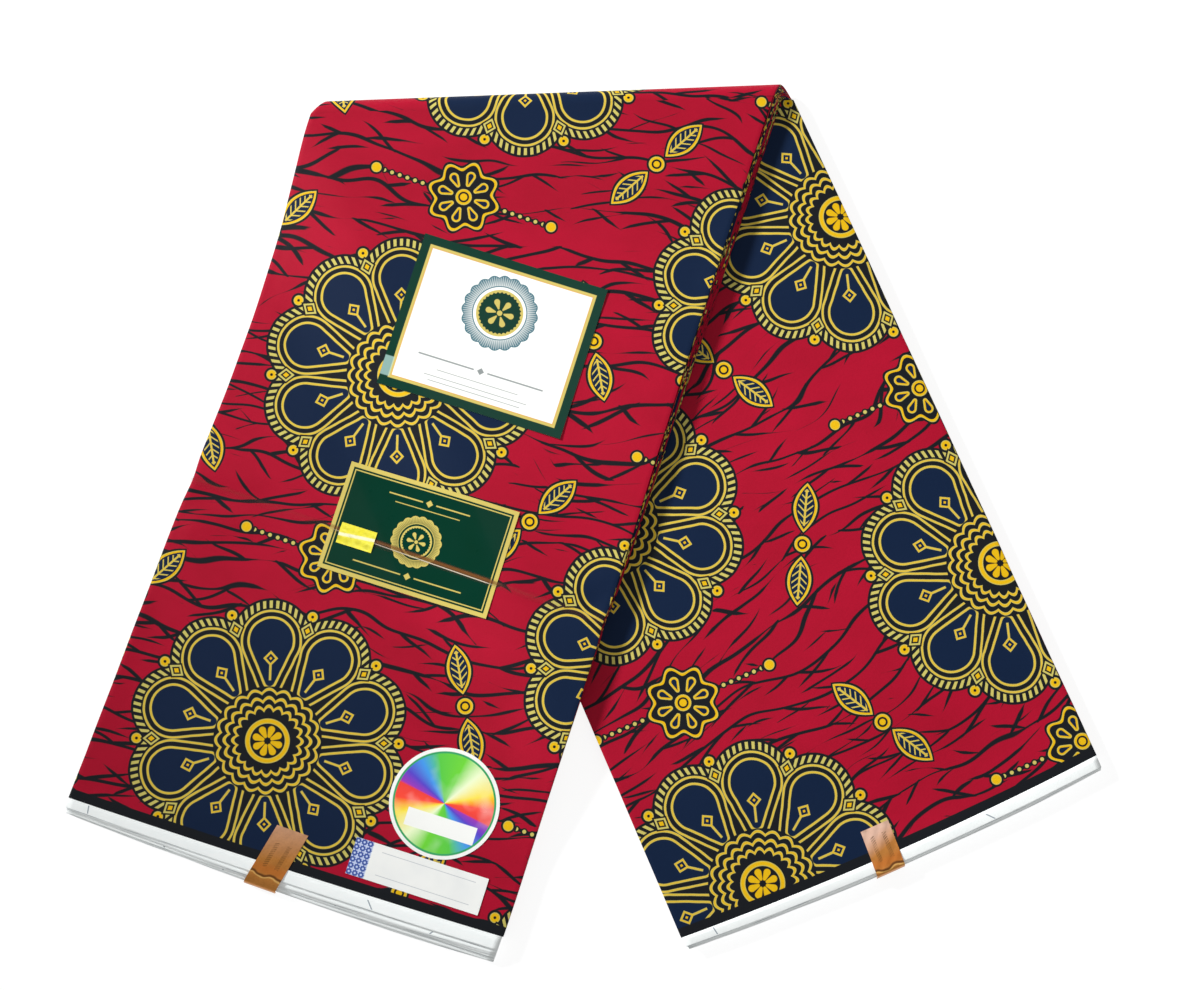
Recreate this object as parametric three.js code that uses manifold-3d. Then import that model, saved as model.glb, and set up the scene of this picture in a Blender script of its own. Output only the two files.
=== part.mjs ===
// A pack of wax print cotton: many plies folded lengthwise into one flat strip, the strip folded once
// across and laid down splayed, with its sealed labels, film strap and foil tabs on the upper stretch.
// Millimetres, +Z up. X runs along the bend, both stretches run from the bend towards -Y, and the
// pack lies on the plane z = 0.
//
// A place on a stretch is given by "across", from the middle line and positive towards +X, and by
// "along", from the bend. "Depth" runs through the pack, from 0 at the inside of the fold to 1.
import * as THREE from 'three';
import { mergeVertices } from 'three/addons/utils/BufferGeometryUtils.js';
import Module from 'manifold-3d';

const wasm = await Module();
wasm.setup();

// ---- Driving dimensions ----
const THICKNESS = 11;                              // of the folded pack
const SPLAY = THREE.MathUtils.degToRad(21.45);     // of each stretch from -Y
const GAP = 0.3;                                   // between touching pieces
const BEND = { x: -3.05, y: 307.35 };                 // middle of the bend's outer line
const PRINT_LENGTH = { front: 583, back: 591 };    // bend to the end of the print, on the middle line
const LABEL_TILT = -0.03;                          // slope of the labels and of the front end

// Edges of the ply on top, and how far the lowest ply stands out beyond it on the +X side.
const FRONT_EDGES = [
  { along: -60, left: -160, right: 150, fan: 7 },
  { along: 80, left: -158, right: 153, fan: 7 },
  { along: 160, left: -151, right: 155, fan: 6 },
  { along: 250, left: -148, right: 158, fan: 4.5 },
  { along: 400, left: -150, right: 162, fan: 1 },
  { along: 600, left: -151, right: 166, fan: 0.5 },
];
const BACK_EDGES = [
  { along: -60, left: -156, right: 155, fan: 2 },
  { along: 120, left: -156, right: 157, fan: 1 },
  { along: 600, left: -158, right: 157, fan: 0.5 },
];

// Leaves of plies at the ends: how far each reaches past the print, and how much further at its
// right end and in its middle. The first row is the top leaf.
const FRONT_LEAVES = [
  { reach: 8.5, skew: 1.5, bow: 0.5 },
  { reach: 11, skew: 2.5, bow: 1.5 },
  { reach: 13, skew: 3, bow: 1 },
  { reach: 14.5, skew: 4, bow: 2 },
  { reach: 13.5, skew: 4.5, bow: 1.5 },
  { reach: 12, skew: 3, bow: 1 },
];
const BACK_LEAVES = [
  { reach: 8, skew: 1, bow: 0.5 },
  { reach: 9.5, skew: 0.5, bow: 1 },
  { reach: 8.5, skew: 1, bow: 0.5 },
  { reach: 7, skew: 0.5, bow: 0.5 },
  { reach: 5.5, skew: 1, bow: 0.5 },
  { reach: 4, skew: 0.5, bow: 0 },
];

// The front stretch comes down from the back one to the plane it lies on.
const STEP_START = 8;      // past the edge of the back stretch
const STEP_LENGTH = 80;

const LEAVES = 6;          // of plies, told apart at the sides and ends
const GROOVE = 1.2;        // between leaves
const EDGE_ROUND = 1.6;    // of the top and bottom leaves
const COLUMNS = 12;        // across a stretch
const ROW_STEP = 28;       // along a stretch
const BEND_STEPS = 9;
const BEND_TUCK = { left: 6, right: 1 };
const SELVEDGE_STEPS = 12;

const CARD = 0.5;          // thickness of the labels
const FOIL = 0.5;
const STRAP = { along: 349, width: 6, thickness: 0.4, room: 0.9, ramp: 6, rounding: 0.1 };
const WHITE_CARD = { across: 19, along: 184, width: 136, length: 112 };
const GREEN_CARD = { across: 18, along: 337, width: 125, length: 78 };
const CLASP = { across: -24, along: 349.7, width: 26, length: 15, thickness: 0.5 };
const DISC = { across: 97, along: 504, radius: 38.5 };
const STICKER = { across: 96, along: 557, width: 96, length: 26 };
const FRONT_TAB = { across: 4, along: 556, width: 23, length: 42, slant: -0.2 };
const BACK_TAB = { across: -5, along: 569, width: 21, length: 34, slant: -0.06 };

// Colour, roughness and metalness of each material
const PRINT = [0xb5132e, 0.62, 0];
const SELVEDGE = [0xf0f1ec, 0.75, 0];
const WHITE_PAPER = [0xf6f6f2, 0.35, 0];
const GREEN_PAPER = [0x043a2c, 0.35, 0];
const FILM = [0xa8865c, 0.12, 0];
const YELLOW_FOIL = [0xe8d820, 0.25, 0.6];
const HOLOGRAM = [0x9fb8c8, 0.2, 0.8];
const COPPER_FOIL = [0xb9772f, 0.28, 0.9];

const HALF_FOLD = THICKNESS + GAP / 2;             // radius of the bend's outer face
const FIRST_ROW = (HALF_FOLD + GAP) / Math.cos(SPLAY);   // from the bend's outer line
const FRONT = { name: 'front', turn: -1, edges: FRONT_EDGES, bow: 1.5, slant: LABEL_TILT };
const BACK = { name: 'back', turn: 1, edges: BACK_EDGES, bow: 5, slant: 0.005 };

// ---- Places on a stretch ----

/** A column of a table at a distance along the stretch, smooth through the rows. */
function columnAt(rows, column, along) {
  const last = rows.length - 1;
  let i = 0;
  while (i < last - 1 && along > rows[i + 1].along) i += 1;
  const slope = (k) => {
    const a = rows[Math.max(k - 1, 0)];
    const b = rows[Math.min(k + 1, last)];
    return (b[column] - a[column]) / (b.along - a.along);
  };
  const from = rows[i];
  const to = rows[i + 1];
  const span = to.along - from.along;
  const u = THREE.MathUtils.clamp((along - from.along) / span, 0, 1);
  const u2 = u * u;
  const u3 = u2 * u;
  return (2 * u3 - 3 * u2 + 1) * from[column] + (u3 - 2 * u2 + u) * span * slope(i)
    + (3 * u2 - 2 * u3) * to[column] + (u3 - u2) * span * slope(i + 1);
}

/** Plan position of a place on a stretch. */
function plan(stretch, across, along) {
  const sin = stretch.turn * Math.sin(SPLAY);
  const cos = Math.cos(SPLAY);
  return {
    x: BEND.x + across * cos + along * sin,
    y: BEND.y + across * sin - along * cos,
  };
}

/** Height of the front stretch's underside, over the back stretch's edge and down beside it. */
function rise(x, y) {
  const across = (x - BEND.x) * Math.cos(SPLAY) + (y - BEND.y) * Math.sin(SPLAY);
  const past = BACK_EDGES[0].left - across - STEP_START;
  return (THICKNESS + GAP) * (1 - THREE.MathUtils.smoothstep(past, 0, STEP_LENGTH));
}

/** Slope of a row: along the bend at first, square to the stretch from the strap on. */
function rowSlant(stretch, middle) {
  const share = Math.max(0, (STRAP.along - middle) / (STRAP.along - FIRST_ROW));
  return stretch.slant + (stretch.turn * Math.tan(SPLAY) - stretch.slant) * share ** 1.5;
}

/** Distance along the stretch of a place on the row that crosses the middle line at "middle". */
function rowAlong(stretch, middle, across) {
  const half = columnAt(stretch.edges, 'right', middle);
  const bow = stretch.bow * (middle / PRINT_LENGTH[stretch.name]) ** 4 * ((across / half) ** 2);
  return middle + rowSlant(stretch, middle) * across - bow;
}

/** Solid point at (share across 0..1, inset from the edge, depth) of a row. */
function packPoint(stretch, middle, { share, inset, depth }) {
  const guess = THREE.MathUtils.lerp(
    columnAt(stretch.edges, 'left', middle),
    columnAt(stretch.edges, 'right', middle),
    share,
  );
  const near = rowAlong(stretch, middle, guess);
  const left = columnAt(stretch.edges, 'left', near) + inset;
  const right = columnAt(stretch.edges, 'right', near) - inset;
  const low = stretch === FRONT ? 1 - depth : depth;
  const across = THREE.MathUtils.lerp(left, right, share) + low * columnAt(stretch.edges, 'fan', near);
  const { x, y } = plan(stretch, across, rowAlong(stretch, middle, across));
  const z = stretch === FRONT ? rise(x, y) + depth * THICKNESS : (1 - depth) * THICKNESS;
  return new THREE.Vector3(x, y, z);
}

/** The pack's outline in section: flat faces, and one round edge for each leaf at the sides. */
function packOutline() {
  const side = [];
  for (let i = 0; i < LEAVES; i += 1) {
    if (i > 0) side.push({ depth: i / LEAVES, inset: GROOVE });
    side.push({ depth: (i + 0.3) / LEAVES, inset: 0 });
    side.push({ depth: (i + 0.7) / LEAVES, inset: 0 });
  }
  const face = (depth) => COLUMN_SHARES.map((share) => ({ share, inset: EDGE_ROUND, depth }));
  return [
    ...face(0),
    ...side.map((p) => ({ ...p, share: 1 })),
    ...face(1).reverse(),
    ...side.map((p) => ({ ...p, share: 0 })).reverse(),
  ];
}

const COLUMN_SHARES = Array.from({ length: COLUMNS + 1 }, (_, i) => i / COLUMNS);
const OUTLINE = packOutline();
const FLAT_OUTLINE = OUTLINE.map((p) => new THREE.Vector2(
  THREE.MathUtils.lerp(p.inset, 300 - p.inset, p.share),
  p.depth * THICKNESS,
));

// ---- Closed meshes ----

function geometryOf(points, faces) {
  const geometry = new THREE.BufferGeometry();
  geometry.setAttribute('position', new THREE.Float32BufferAttribute(points.flatMap((p) => p.toArray()), 3));
  geometry.setIndex(faces.flat());
  return geometry;
}

/** Faces turned outwards, judged by the volume's sign. */
function facingOut(points, faces) {
  const volume = faces.reduce((sum, [a, b, c]) => (
    sum + points[a].dot(points[b].clone().cross(points[c]))
  ), 0);
  return volume > 0 ? faces : faces.map(([a, b, c]) => [a, c, b]);
}

/** A closed solid through sections that have the same number of points. */
function loft(sections, flatOutline) {
  const count = sections[0].length;
  const points = sections.flat();
  const faces = [];
  for (let row = 0; row < sections.length - 1; row += 1) {
    for (let i = 0; i < count; i += 1) {
      const a = row * count + i;
      const b = row * count + (i + 1) % count;
      faces.push([a, b, b + count], [a, b + count, a + count]);
    }
  }
  const end = (sections.length - 1) * count;
  const clockwise = THREE.ShapeUtils.isClockWise(flatOutline);
  for (const triangle of THREE.ShapeUtils.triangulateShape(flatOutline, [])) {
    const [a, b, c] = clockwise ? triangle.toReversed() : triangle;
    faces.push([a, c, b], [a + end, b + end, c + end]);
  }
  return geometryOf(points, facingOut(points, faces));
}

/** A closed band: two edges of an inner loop inside two edges of an outer loop. */
function bandAround(inner, outer) {
  const count = inner[0].length;
  const loops = [inner[0], outer[0], outer[1], inner[1]];
  const points = loops.flat();
  const faces = [];
  for (let loop = 0; loop < 4; loop += 1) {
    const from = loop * count;
    const to = ((loop + 1) % 4) * count;
    for (let i = 0; i < count; i += 1) {
      const next = (i + 1) % count;
      faces.push([from + i, from + next, to + next], [from + i, to + next, to + i]);
    }
  }
  return geometryOf(points, facingOut(points, faces));
}

/** The same geometry with its points shared between faces. */
function merge(geometry) {
  const bare = geometry.clone();
  bare.deleteAttribute('normal');
  bare.deleteAttribute('uv');
  return mergeVertices(bare, 1e-4);
}

function solidOf(geometry) {
  const merged = merge(geometry);
  return new wasm.Manifold(new wasm.Mesh({
    numProp: 3,
    vertProperties: new Float32Array(merged.attributes.position.array),
    triVerts: new Uint32Array(merged.index.array),
  }));
}

function geometryFrom(solid) {
  const { vertProperties, triVerts } = solid.getMesh();
  const geometry = new THREE.BufferGeometry();
  geometry.setAttribute('position', new THREE.BufferAttribute(vertProperties, 3));
  geometry.setIndex(new THREE.BufferAttribute(triVerts, 1));
  return geometry;
}

// ---- The cloth ----

/** Rows of a stretch, with a pair on each side of the strap on the front one. */
function rowMiddles(stretch) {
  const last = PRINT_LENGTH[stretch.name];
  const steps = Math.round((last - FIRST_ROW) / ROW_STEP);
  const middles = Array.from({ length: steps + 1 }, (_, i) => (
    THREE.MathUtils.lerp(FIRST_ROW, last, i / steps)
  ));
  if (stretch === BACK) return middles;
  const half = STRAP.width / 2 + GAP;
  const channel = [-half - 3, -half, half, half + 3].map((d) => STRAP.along + d);
  const clear = middles.filter((m) => Math.abs(m - STRAP.along) > ROW_STEP / 2);
  return [...clear, ...channel].sort((a, b) => a - b);
}

/** A row's section. Under the strap the front stretch is pressed in. */
function packSection(stretch, middle) {
  const pressed = stretch === FRONT && Math.abs(middle - STRAP.along) < STRAP.width / 2 + 2 * GAP;
  return OUTLINE.map((p) => {
    const point = packPoint(stretch, middle, p);
    const floor = STRAP.room + (p.depth > 0 ? STRAP.rounding : 0);
    if (pressed) point.z += Math.max(0, floor - p.depth * THICKNESS);
    return point;
  });
}

function stretchBody(stretch) {
  return loft(rowMiddles(stretch).map((middle) => packSection(stretch, middle)), FLAT_OUTLINE);
}

/** The round bend that joins the two stretches. Each ply goes round on its own radius. */
function bendBody() {
  const over = OUTLINE.map((p) => packPoint(FRONT, FIRST_ROW, p));
  const under = OUTLINE.map((p) => packPoint(BACK, FIRST_ROW, p));
  const sections = [];
  for (let step = 0; step <= BEND_STEPS; step += 1) {
    const turn = step / BEND_STEPS;
    const angle = turn * Math.PI;
    sections.push(OUTLINE.map((p, i) => {
      const radius = GAP / 2 + p.depth * THICKNESS;
      const tuck = THREE.MathUtils.lerp(BEND_TUCK.left, -BEND_TUCK.right, p.share) * Math.sin(angle);
      return new THREE.Vector3(
        THREE.MathUtils.lerp(over[i].x, under[i].x, turn) + tuck,
        BEND.y - HALF_FOLD + radius * Math.sin(angle),
        HALF_FOLD + radius * Math.cos(angle),
      );
    }));
  }
  return loft(sections, FLAT_OUTLINE);
}

/** The unprinted end of a stretch, its leaves reaching out unevenly. */
function selvedgeBody(stretch, leaves) {
  const root = PRINT_LENGTH[stretch.name] + GAP;
  const notch = Math.min(...leaves.map((leaf) => leaf.reach)) - 2.5;
  const leafHeight = THICKNESS / LEAVES;
  const groove = 0.4;
  const steps = Array.from({ length: SELVEDGE_STEPS + 1 }, (_, i) => i / SELVEDGE_STEPS);
  const profile = (share) => {
    const even = 2 * share - 1;
    const line = [{ reach: 0, z: 0 }, { reach: 0, z: THICKNESS }];
    leaves.forEach((leaf, i) => {
      const reach = leaf.reach + leaf.skew * even + leaf.bow * (1 - even * even);
      const top = THICKNESS - i * leafHeight - (i > 0 ? groove : 0);
      const bottom = THICKNESS - (i + 1) * leafHeight;
      if (i > 0) line.push({ reach: notch, z: top });
      line.push({ reach: reach - (i === 0 ? 0.6 : 0), z: top }, { reach, z: (top + bottom) / 2 });
      line.push({ reach, z: bottom });
      if (i < LEAVES - 1) line.push({ reach: notch, z: bottom });
    });
    return line;
  };
  const sections = steps.map((share) => profile(share).map(({ reach, z }) => {
    const low = 1 - z / THICKNESS;
    const left = columnAt(stretch.edges, 'left', root) + EDGE_ROUND / 2;
    const right = columnAt(stretch.edges, 'right', root) - EDGE_ROUND / 2;
    const across = THREE.MathUtils.lerp(left, right, share)
      + low * columnAt(stretch.edges, 'fan', root);
    const { x, y } = plan(stretch, across, rowAlong(stretch, root, across) + reach);
    return new THREE.Vector3(x, y, z + (stretch === FRONT ? rise(x, y) : 0));
  }));
  return loft(sections, profile(0.5).map(({ reach, z }) => new THREE.Vector2(reach, z)));
}

// ---- What lies on the front stretch ----

/** A tall prism over a plan outline, to cut labels with. */
function prismOver(outline) {
  const shape = new THREE.Shape(outline.map(({ x, y }) => new THREE.Vector2(x, y)));
  return solidOf(new THREE.ExtrudeGeometry(shape, { depth: 60, bevelEnabled: false }));
}

/** Plan outline of a tilted rectangle on the front stretch. */
function rectangle({ across, along, width, length }) {
  const corners = [[-0.5, -0.5], [0.5, -0.5], [0.5, 0.5], [-0.5, 0.5]];
  return corners.map(([u, v]) => plan(
    FRONT,
    across + u * width - v * length * LABEL_TILT,
    along + v * length + u * width * LABEL_TILT,
  ));
}

/** Plan outline of a round label on the front stretch. */
function circle({ across, along, radius }) {
  const sides = 40;
  return Array.from({ length: sides }, (_, i) => {
    const angle = 2 * Math.PI * i / sides;
    return plan(FRONT, across + radius * Math.cos(angle), along + radius * Math.sin(angle));
  });
}

/** A sheet that follows the cloth's own top face, from "lift" above it and "thickness" thick. */
function sheetOn(cloth, outline, lift, thickness) {
  const over = cloth.translate([0, 0, lift + thickness]);
  const under = cloth.translate([0, 0, lift]);
  return prismOver(outline).intersect(over).subtract(under);
}

/** How far the strap is lifted to pass over the green label. */
function strapLift(across) {
  const beyond = Math.abs(across - GREEN_CARD.across) - GREEN_CARD.width / 2;
  return (GAP + CARD) * (1 - THREE.MathUtils.smoothstep(beyond, 1.5, STRAP.ramp));
}

/** Shares across the stretch where the strap's top has a point: the cloth's own, and the ramps. */
function strapShares(middle) {
  const left = columnAt(FRONT_EDGES, 'left', middle);
  const width = columnAt(FRONT_EDGES, 'right', middle) - left;
  const ramps = [-1, 1].flatMap((side) => [1, STRAP.ramp].map((beyond) => (
    GREEN_CARD.across + side * (GREEN_CARD.width / 2 + beyond)
  )));
  const shares = [...COLUMN_SHARES, ...ramps.map((across) => (across - left) / width)];
  return shares.sort((a, b) => a - b);
}

/** One edge of the strap: a loop round the front stretch, "out" from its points. */
function strapLoop(middle, out) {
  const left = columnAt(FRONT_EDGES, 'left', middle);
  const width = columnAt(FRONT_EDGES, 'right', middle) - left;
  const moved = (point, sideways, upwards) => new THREE.Vector3(
    point.x + sideways * Math.cos(SPLAY),
    point.y - sideways * Math.sin(SPLAY),
    point.z + upwards,
  );
  const face = (share, depth) => packPoint(FRONT, middle, { share, inset: EDGE_ROUND, depth });
  const edge = (share, depth) => packPoint(FRONT, middle, { share, inset: 0, depth });
  const under = COLUMN_SHARES.map((share) => moved(face(share, 0), 0, STRAP.room - out));
  const over = strapShares(middle).map((share) => {
    const column = Math.min(Math.floor(share * COLUMNS), COLUMNS - 1);
    const from = face(column / COLUMNS, 1);
    const to = face((column + 1) / COLUMNS, 1);
    return moved(from.lerp(to, share * COLUMNS - column), 0, out + strapLift(left + share * width));
  });
  const side = (share, sign) => [
    moved(edge(share, 0), sign * out, STRAP.room - out + STRAP.rounding),
    moved(edge(share, 0.95), sign * out, 0.7 * out),
  ];
  return [...under, ...side(1, 1), ...over.reverse(), ...side(0, -1).reverse()];
}

function strapBody() {
  const edges = [-1, 1].map((side) => STRAP.along + side * STRAP.width / 2);
  const inner = edges.map((middle) => strapLoop(middle, GAP));
  const outer = edges.map((middle) => strapLoop(middle, GAP + STRAP.thickness));
  return bandAround(inner, outer);
}

/** The folded clasp over the strap, with a channel that the strap runs through. */
function claspBody(cloth) {
  const overCard = GAP + CARD + GAP;
  const overStrap = GAP + STRAP.thickness + GAP;
  const channel = { ...CLASP, width: CLASP.width + 10, length: STRAP.width + 2 * GAP };
  const block = sheetOn(cloth, rectangle(CLASP), overCard, overStrap + CLASP.thickness);
  const room = sheetOn(cloth, rectangle(channel), 0, overCard + overStrap);
  return geometryFrom(block.subtract(room));
}

/** A foil tab: flat on the cloth, then bent down over the leaves at the end. */
function foilTab(stretch, tab, leaves) {
  const top = THICKNESS + GAP;
  const reachAt = (leaf) => PRINT_LENGTH[stretch.name] + leaf.reach + leaf.bow + 2 * GAP;
  const furthest = Math.max(...leaves.map(reachAt)) + 0.6;
  const edge = reachAt(leaves[0]) + 0.3;
  const line = [[tab.along, top], [edge, top], [furthest, top * 0.62], [furthest, 1.5]];
  const outer = [[furthest + FOIL, 1.5], [furthest + FOIL, top * 0.62 + 0.2]];
  outer.push([edge + 0.2, top + FOIL], [tab.along, top + FOIL]);
  const shape = new THREE.Shape([...line, ...outer].map(([along, z]) => new THREE.Vector2(along, z)));
  const strip = merge(new THREE.ExtrudeGeometry(shape, { depth: tab.width, bevelEnabled: false }));
  const { position } = strip.attributes;
  const points = Array.from({ length: position.count }, (_, i) => {
    const along = position.getX(i);
    const across = tab.across + position.getZ(i) - tab.width / 2 + (along - tab.along) * tab.slant;
    const { x, y } = plan(stretch, across, along);
    return new THREE.Vector3(x, y, position.getY(i));
  });
  const corners = Array.from(strip.index.array);
  const faces = Array.from({ length: corners.length / 3 }, (_, i) => corners.slice(3 * i, 3 * i + 3));
  return geometryOf(points, facingOut(points, faces));
}

// ---- The pack ----

const pack = new THREE.Group();

function addPiece(name, geometry, [color, roughness, metalness]) {
  const material = new THREE.MeshStandardMaterial({ color, roughness, metalness });
  const mesh = new THREE.Mesh(geometry, material);
  mesh.name = name;
  pack.add(mesh);
}

const frontGeometry = stretchBody(FRONT);
const frontSolid = solidOf(frontGeometry);

addPiece('front_stretch', frontGeometry, PRINT);
addPiece('back_stretch', stretchBody(BACK), PRINT);
addPiece('bend', bendBody(), PRINT);
addPiece('front_selvedge', selvedgeBody(FRONT, FRONT_LEAVES), SELVEDGE);
addPiece('back_selvedge', selvedgeBody(BACK, BACK_LEAVES), SELVEDGE);
addPiece('white_label', geometryFrom(sheetOn(frontSolid, rectangle(WHITE_CARD), GAP, CARD)), WHITE_PAPER);
addPiece('green_label', geometryFrom(sheetOn(frontSolid, rectangle(GREEN_CARD), GAP, CARD)), GREEN_PAPER);
addPiece('film_strap', strapBody(), FILM);
addPiece('strap_clasp', claspBody(frontSolid), YELLOW_FOIL);
addPiece('round_label', geometryFrom(sheetOn(frontSolid, circle(DISC), GAP, CARD)), HOLOGRAM);
addPiece('long_sticker', geometryFrom(sheetOn(frontSolid, rectangle(STICKER), GAP, CARD)), WHITE_PAPER);
addPiece('front_foil_tab', foilTab(FRONT, FRONT_TAB, FRONT_LEAVES), COPPER_FOIL);
addPiece('back_foil_tab', foilTab(BACK, BACK_TAB, BACK_LEAVES), COPPER_FOIL);

export default pack;
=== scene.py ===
"""Looks of a folded pack of wax print cotton, made around its CAD frame.

Sizes are in millimetres until a mesh is written. A place on a stretch is given by "across", from
the middle line, and "along", from the bend, as in the CAD model. "Low" runs down through the
pack, from 0 at the ply on top to 1 at the lowest.
"""
import math
from functools import partialmethod

import bpy
import numpy as np
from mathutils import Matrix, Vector


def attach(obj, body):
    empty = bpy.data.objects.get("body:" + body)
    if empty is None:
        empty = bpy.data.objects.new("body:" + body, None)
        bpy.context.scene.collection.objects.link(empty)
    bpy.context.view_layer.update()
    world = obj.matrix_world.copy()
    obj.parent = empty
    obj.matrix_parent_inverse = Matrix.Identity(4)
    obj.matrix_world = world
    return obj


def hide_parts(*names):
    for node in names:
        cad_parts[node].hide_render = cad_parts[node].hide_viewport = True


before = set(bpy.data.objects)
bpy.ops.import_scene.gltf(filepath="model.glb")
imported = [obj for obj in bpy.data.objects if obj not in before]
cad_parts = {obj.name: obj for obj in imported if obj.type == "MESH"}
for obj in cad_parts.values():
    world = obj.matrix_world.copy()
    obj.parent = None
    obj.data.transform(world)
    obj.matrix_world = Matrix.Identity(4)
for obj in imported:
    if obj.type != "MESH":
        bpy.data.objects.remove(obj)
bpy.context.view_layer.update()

MM = 0.001
RNG = np.random.default_rng(12)

# ---- The CAD model's driving dimensions ----
THICKNESS = 11.0
SPLAY = math.radians(21.45)
SIN, COS = math.sin(SPLAY), math.cos(SPLAY)
GAP = 0.3
BEND_X, BEND_Y = -3.05, 307.35
HALF_FOLD = THICKNESS + GAP / 2
BEND_ARC = HALF_FOLD * math.pi + 2 * GAP  # length of the outer ply round the bend
FIRST_ROW = (HALF_FOLD + GAP) / COS
STRAP_ALONG = 349.0
STRAP_PINCH = 1.2  # inwards at each side
PINCH_REACH = 13.0  # along the edge, to each side of the strap
STRAP_ROOM = 0.6  # under the stretch
STEP_START, STEP_LENGTH = 8.0, 80.0
BEND_TUCK_LEFT, BEND_TUCK_RIGHT = 6.0, 1.0

# along, left edge, right edge and side fan of each stretch
EDGES = {
    "front": np.array([
        (-60, -160, 150, 7), (80, -158, 153, 7), (160, -151, 155, 6),
        (250, -148, 158, 4.5), (400, -150, 162, 1), (600, -151, 166, 0.5),
    ], dtype=float),
    "back": np.array([
        (-60, -156, 155, 2), (120, -156, 157, 1), (600, -158, 157, 0.5),
    ], dtype=float),
}
LEFT, RIGHT, FAN = 1, 2, 3
TURN = {"front": -1, "back": 1}
PRINT_LENGTH = {"front": 583.0, "back": 591.0}
END_BOW = {"front": 1.5, "back": 5.0}
LABEL_TILT = -0.03  # slope of the labels and of the front end
END_SLANT = {"front": LABEL_TILT, "back": 0.005}

# reach past the print, more at the right, more in the middle, from the top leaf down
LEAF_ENDS = {
    "front": [(8.5, 1.5, 0.5), (11, 2.5, 1.5), (13, 3, 1), (14.5, 4, 2), (13.5, 4.5, 1.5), (12, 3, 1)],
    "back": [(8, 1, 0.5), (9.5, 0.5, 1), (8.5, 1, 0.5), (7, 0.5, 0.5), (5.5, 1, 0.5), (4, 0.5, 0)],
}

# ---- Plies and mesh density ----
PLIES = 34  # through the pack
PLY_THICKNESS = THICKNESS / PLIES * 0.62
FAR_FROM_END = 300.0  # beyond the reach of the dark line at the print's end
FOLDS = PLIES // 2  # round edges at each side
FOLD_HEIGHT = THICKNESS / FOLDS
FOLD_RADIUS = FOLD_HEIGHT / 2
FOLD_INSET, CLEFT_INSET = 0.35, 1.5  # of the folds at the sides and of the clefts between them
FLAT_INSET = 0.6  # of the lowest ply's flat underside
THREAD_PITCH = 0.00055  # of the weave, in m
PACK_WIDTH = 312.0  # of one ply across the pack
CELL = 3.0  # of the sheets' grids
TOP_COLUMNS = int(PACK_WIDTH / CELL)
UNDER_COLUMNS = 46
SELVEDGE_COLUMNS = 70
BEND_STEPS = 26  # round the bend
RIM_ANGLE = math.radians(40)  # edges sharper than this are shaded sharp
BAKE_SPAN = (0.004, 0.996)  # of the bake square that a piece fills
BACK_MARK = 1000.0  # added to the third cloth coordinate on a label's back


def smooth_table(table, column, along):
    """A column of a table at distances along the stretch, smooth through the rows."""
    x, y = table[:, 0], table[:, column]
    slope = np.gradient(y, x)
    slope[1:-1] = (y[2:] - y[:-2]) / (x[2:] - x[:-2])
    along = np.asarray(along, dtype=float)
    i = np.clip(np.searchsorted(x, along) - 1, 0, len(x) - 2)
    span = x[i + 1] - x[i]
    u = np.clip((along - x[i]) / span, 0, 1)
    return (
        (2 * u**3 - 3 * u**2 + 1) * y[i] + (u**3 - 2 * u**2 + u) * span * slope[i]
        + (3 * u**2 - 2 * u**3) * y[i + 1] + (u**3 - u**2) * span * slope[i + 1]
    )


def smoothstep(x, low, high):
    u = np.clip((x - low) / (high - low), 0, 1)
    return u * u * (3 - 2 * u)


def plan(stretch, across, along):
    """Plan position of places on a stretch."""
    turn = TURN[stretch]
    x = BEND_X + across * COS + along * SIN * turn
    y = BEND_Y + across * SIN * turn - along * COS
    return x, y


def rise(x, y):
    """Height of the front stretch's underside, over the back stretch and down beside it."""
    across = (x - BEND_X) * COS + (y - BEND_Y) * SIN
    past = EDGES["back"][0, LEFT] - across - STEP_START
    return (THICKNESS + GAP) * (1 - smoothstep(past, 0, STEP_LENGTH))


def row_along(stretch, middle, across):
    """Distance along the stretch of a place on the row that crosses the middle line there."""
    share = np.clip((STRAP_ALONG - middle) / (STRAP_ALONG - FIRST_ROW), 0, None)
    slant = END_SLANT[stretch]
    slant = slant + (TURN[stretch] * SIN / COS - slant) * share**1.5
    half = smooth_table(EDGES[stretch], RIGHT, middle)
    bow = END_BOW[stretch] * (middle / PRINT_LENGTH[stretch]) ** 4 * (across / half) ** 2
    return middle + slant * across - bow


def fan_share(low):
    """How much of the side fan a ply has. The plies stand out in three groups."""
    return low + 0.07 * np.sin(6 * math.pi * low)


FOLD_WAVES = RNG.uniform(-1, 1, (FOLDS, 2, 6))


def fold_wander(fold, side, along):
    """How far in each fold's edge wanders at a side, along the whole strip. Fold 0 is inmost."""
    a, b, c, d, e, f = FOLD_WAVES[fold, side].T[:, :, None]
    waves = 0.35 * b * np.sin(along / 95 + 3 * c) + 0.25 * d * np.sin(along / 37 + 3 * e)
    return 0.45 * a + waves + 0.1 * f * np.sin(along / 11 + 3 * a)


def between_edges(stretch, along, share, inset=0.0):
    """Across of a share of the way from the left edge to the right one."""
    left = smooth_table(EDGES[stretch], LEFT, along) + inset
    right = smooth_table(EDGES[stretch], RIGHT, along) - inset
    return left * (1 - share) + right * share


def fan_out(stretch, along, low):
    """How far a ply stands out sideways from the one on top."""
    return fan_share(low) * smooth_table(EDGES[stretch], FAN, along)


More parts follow.
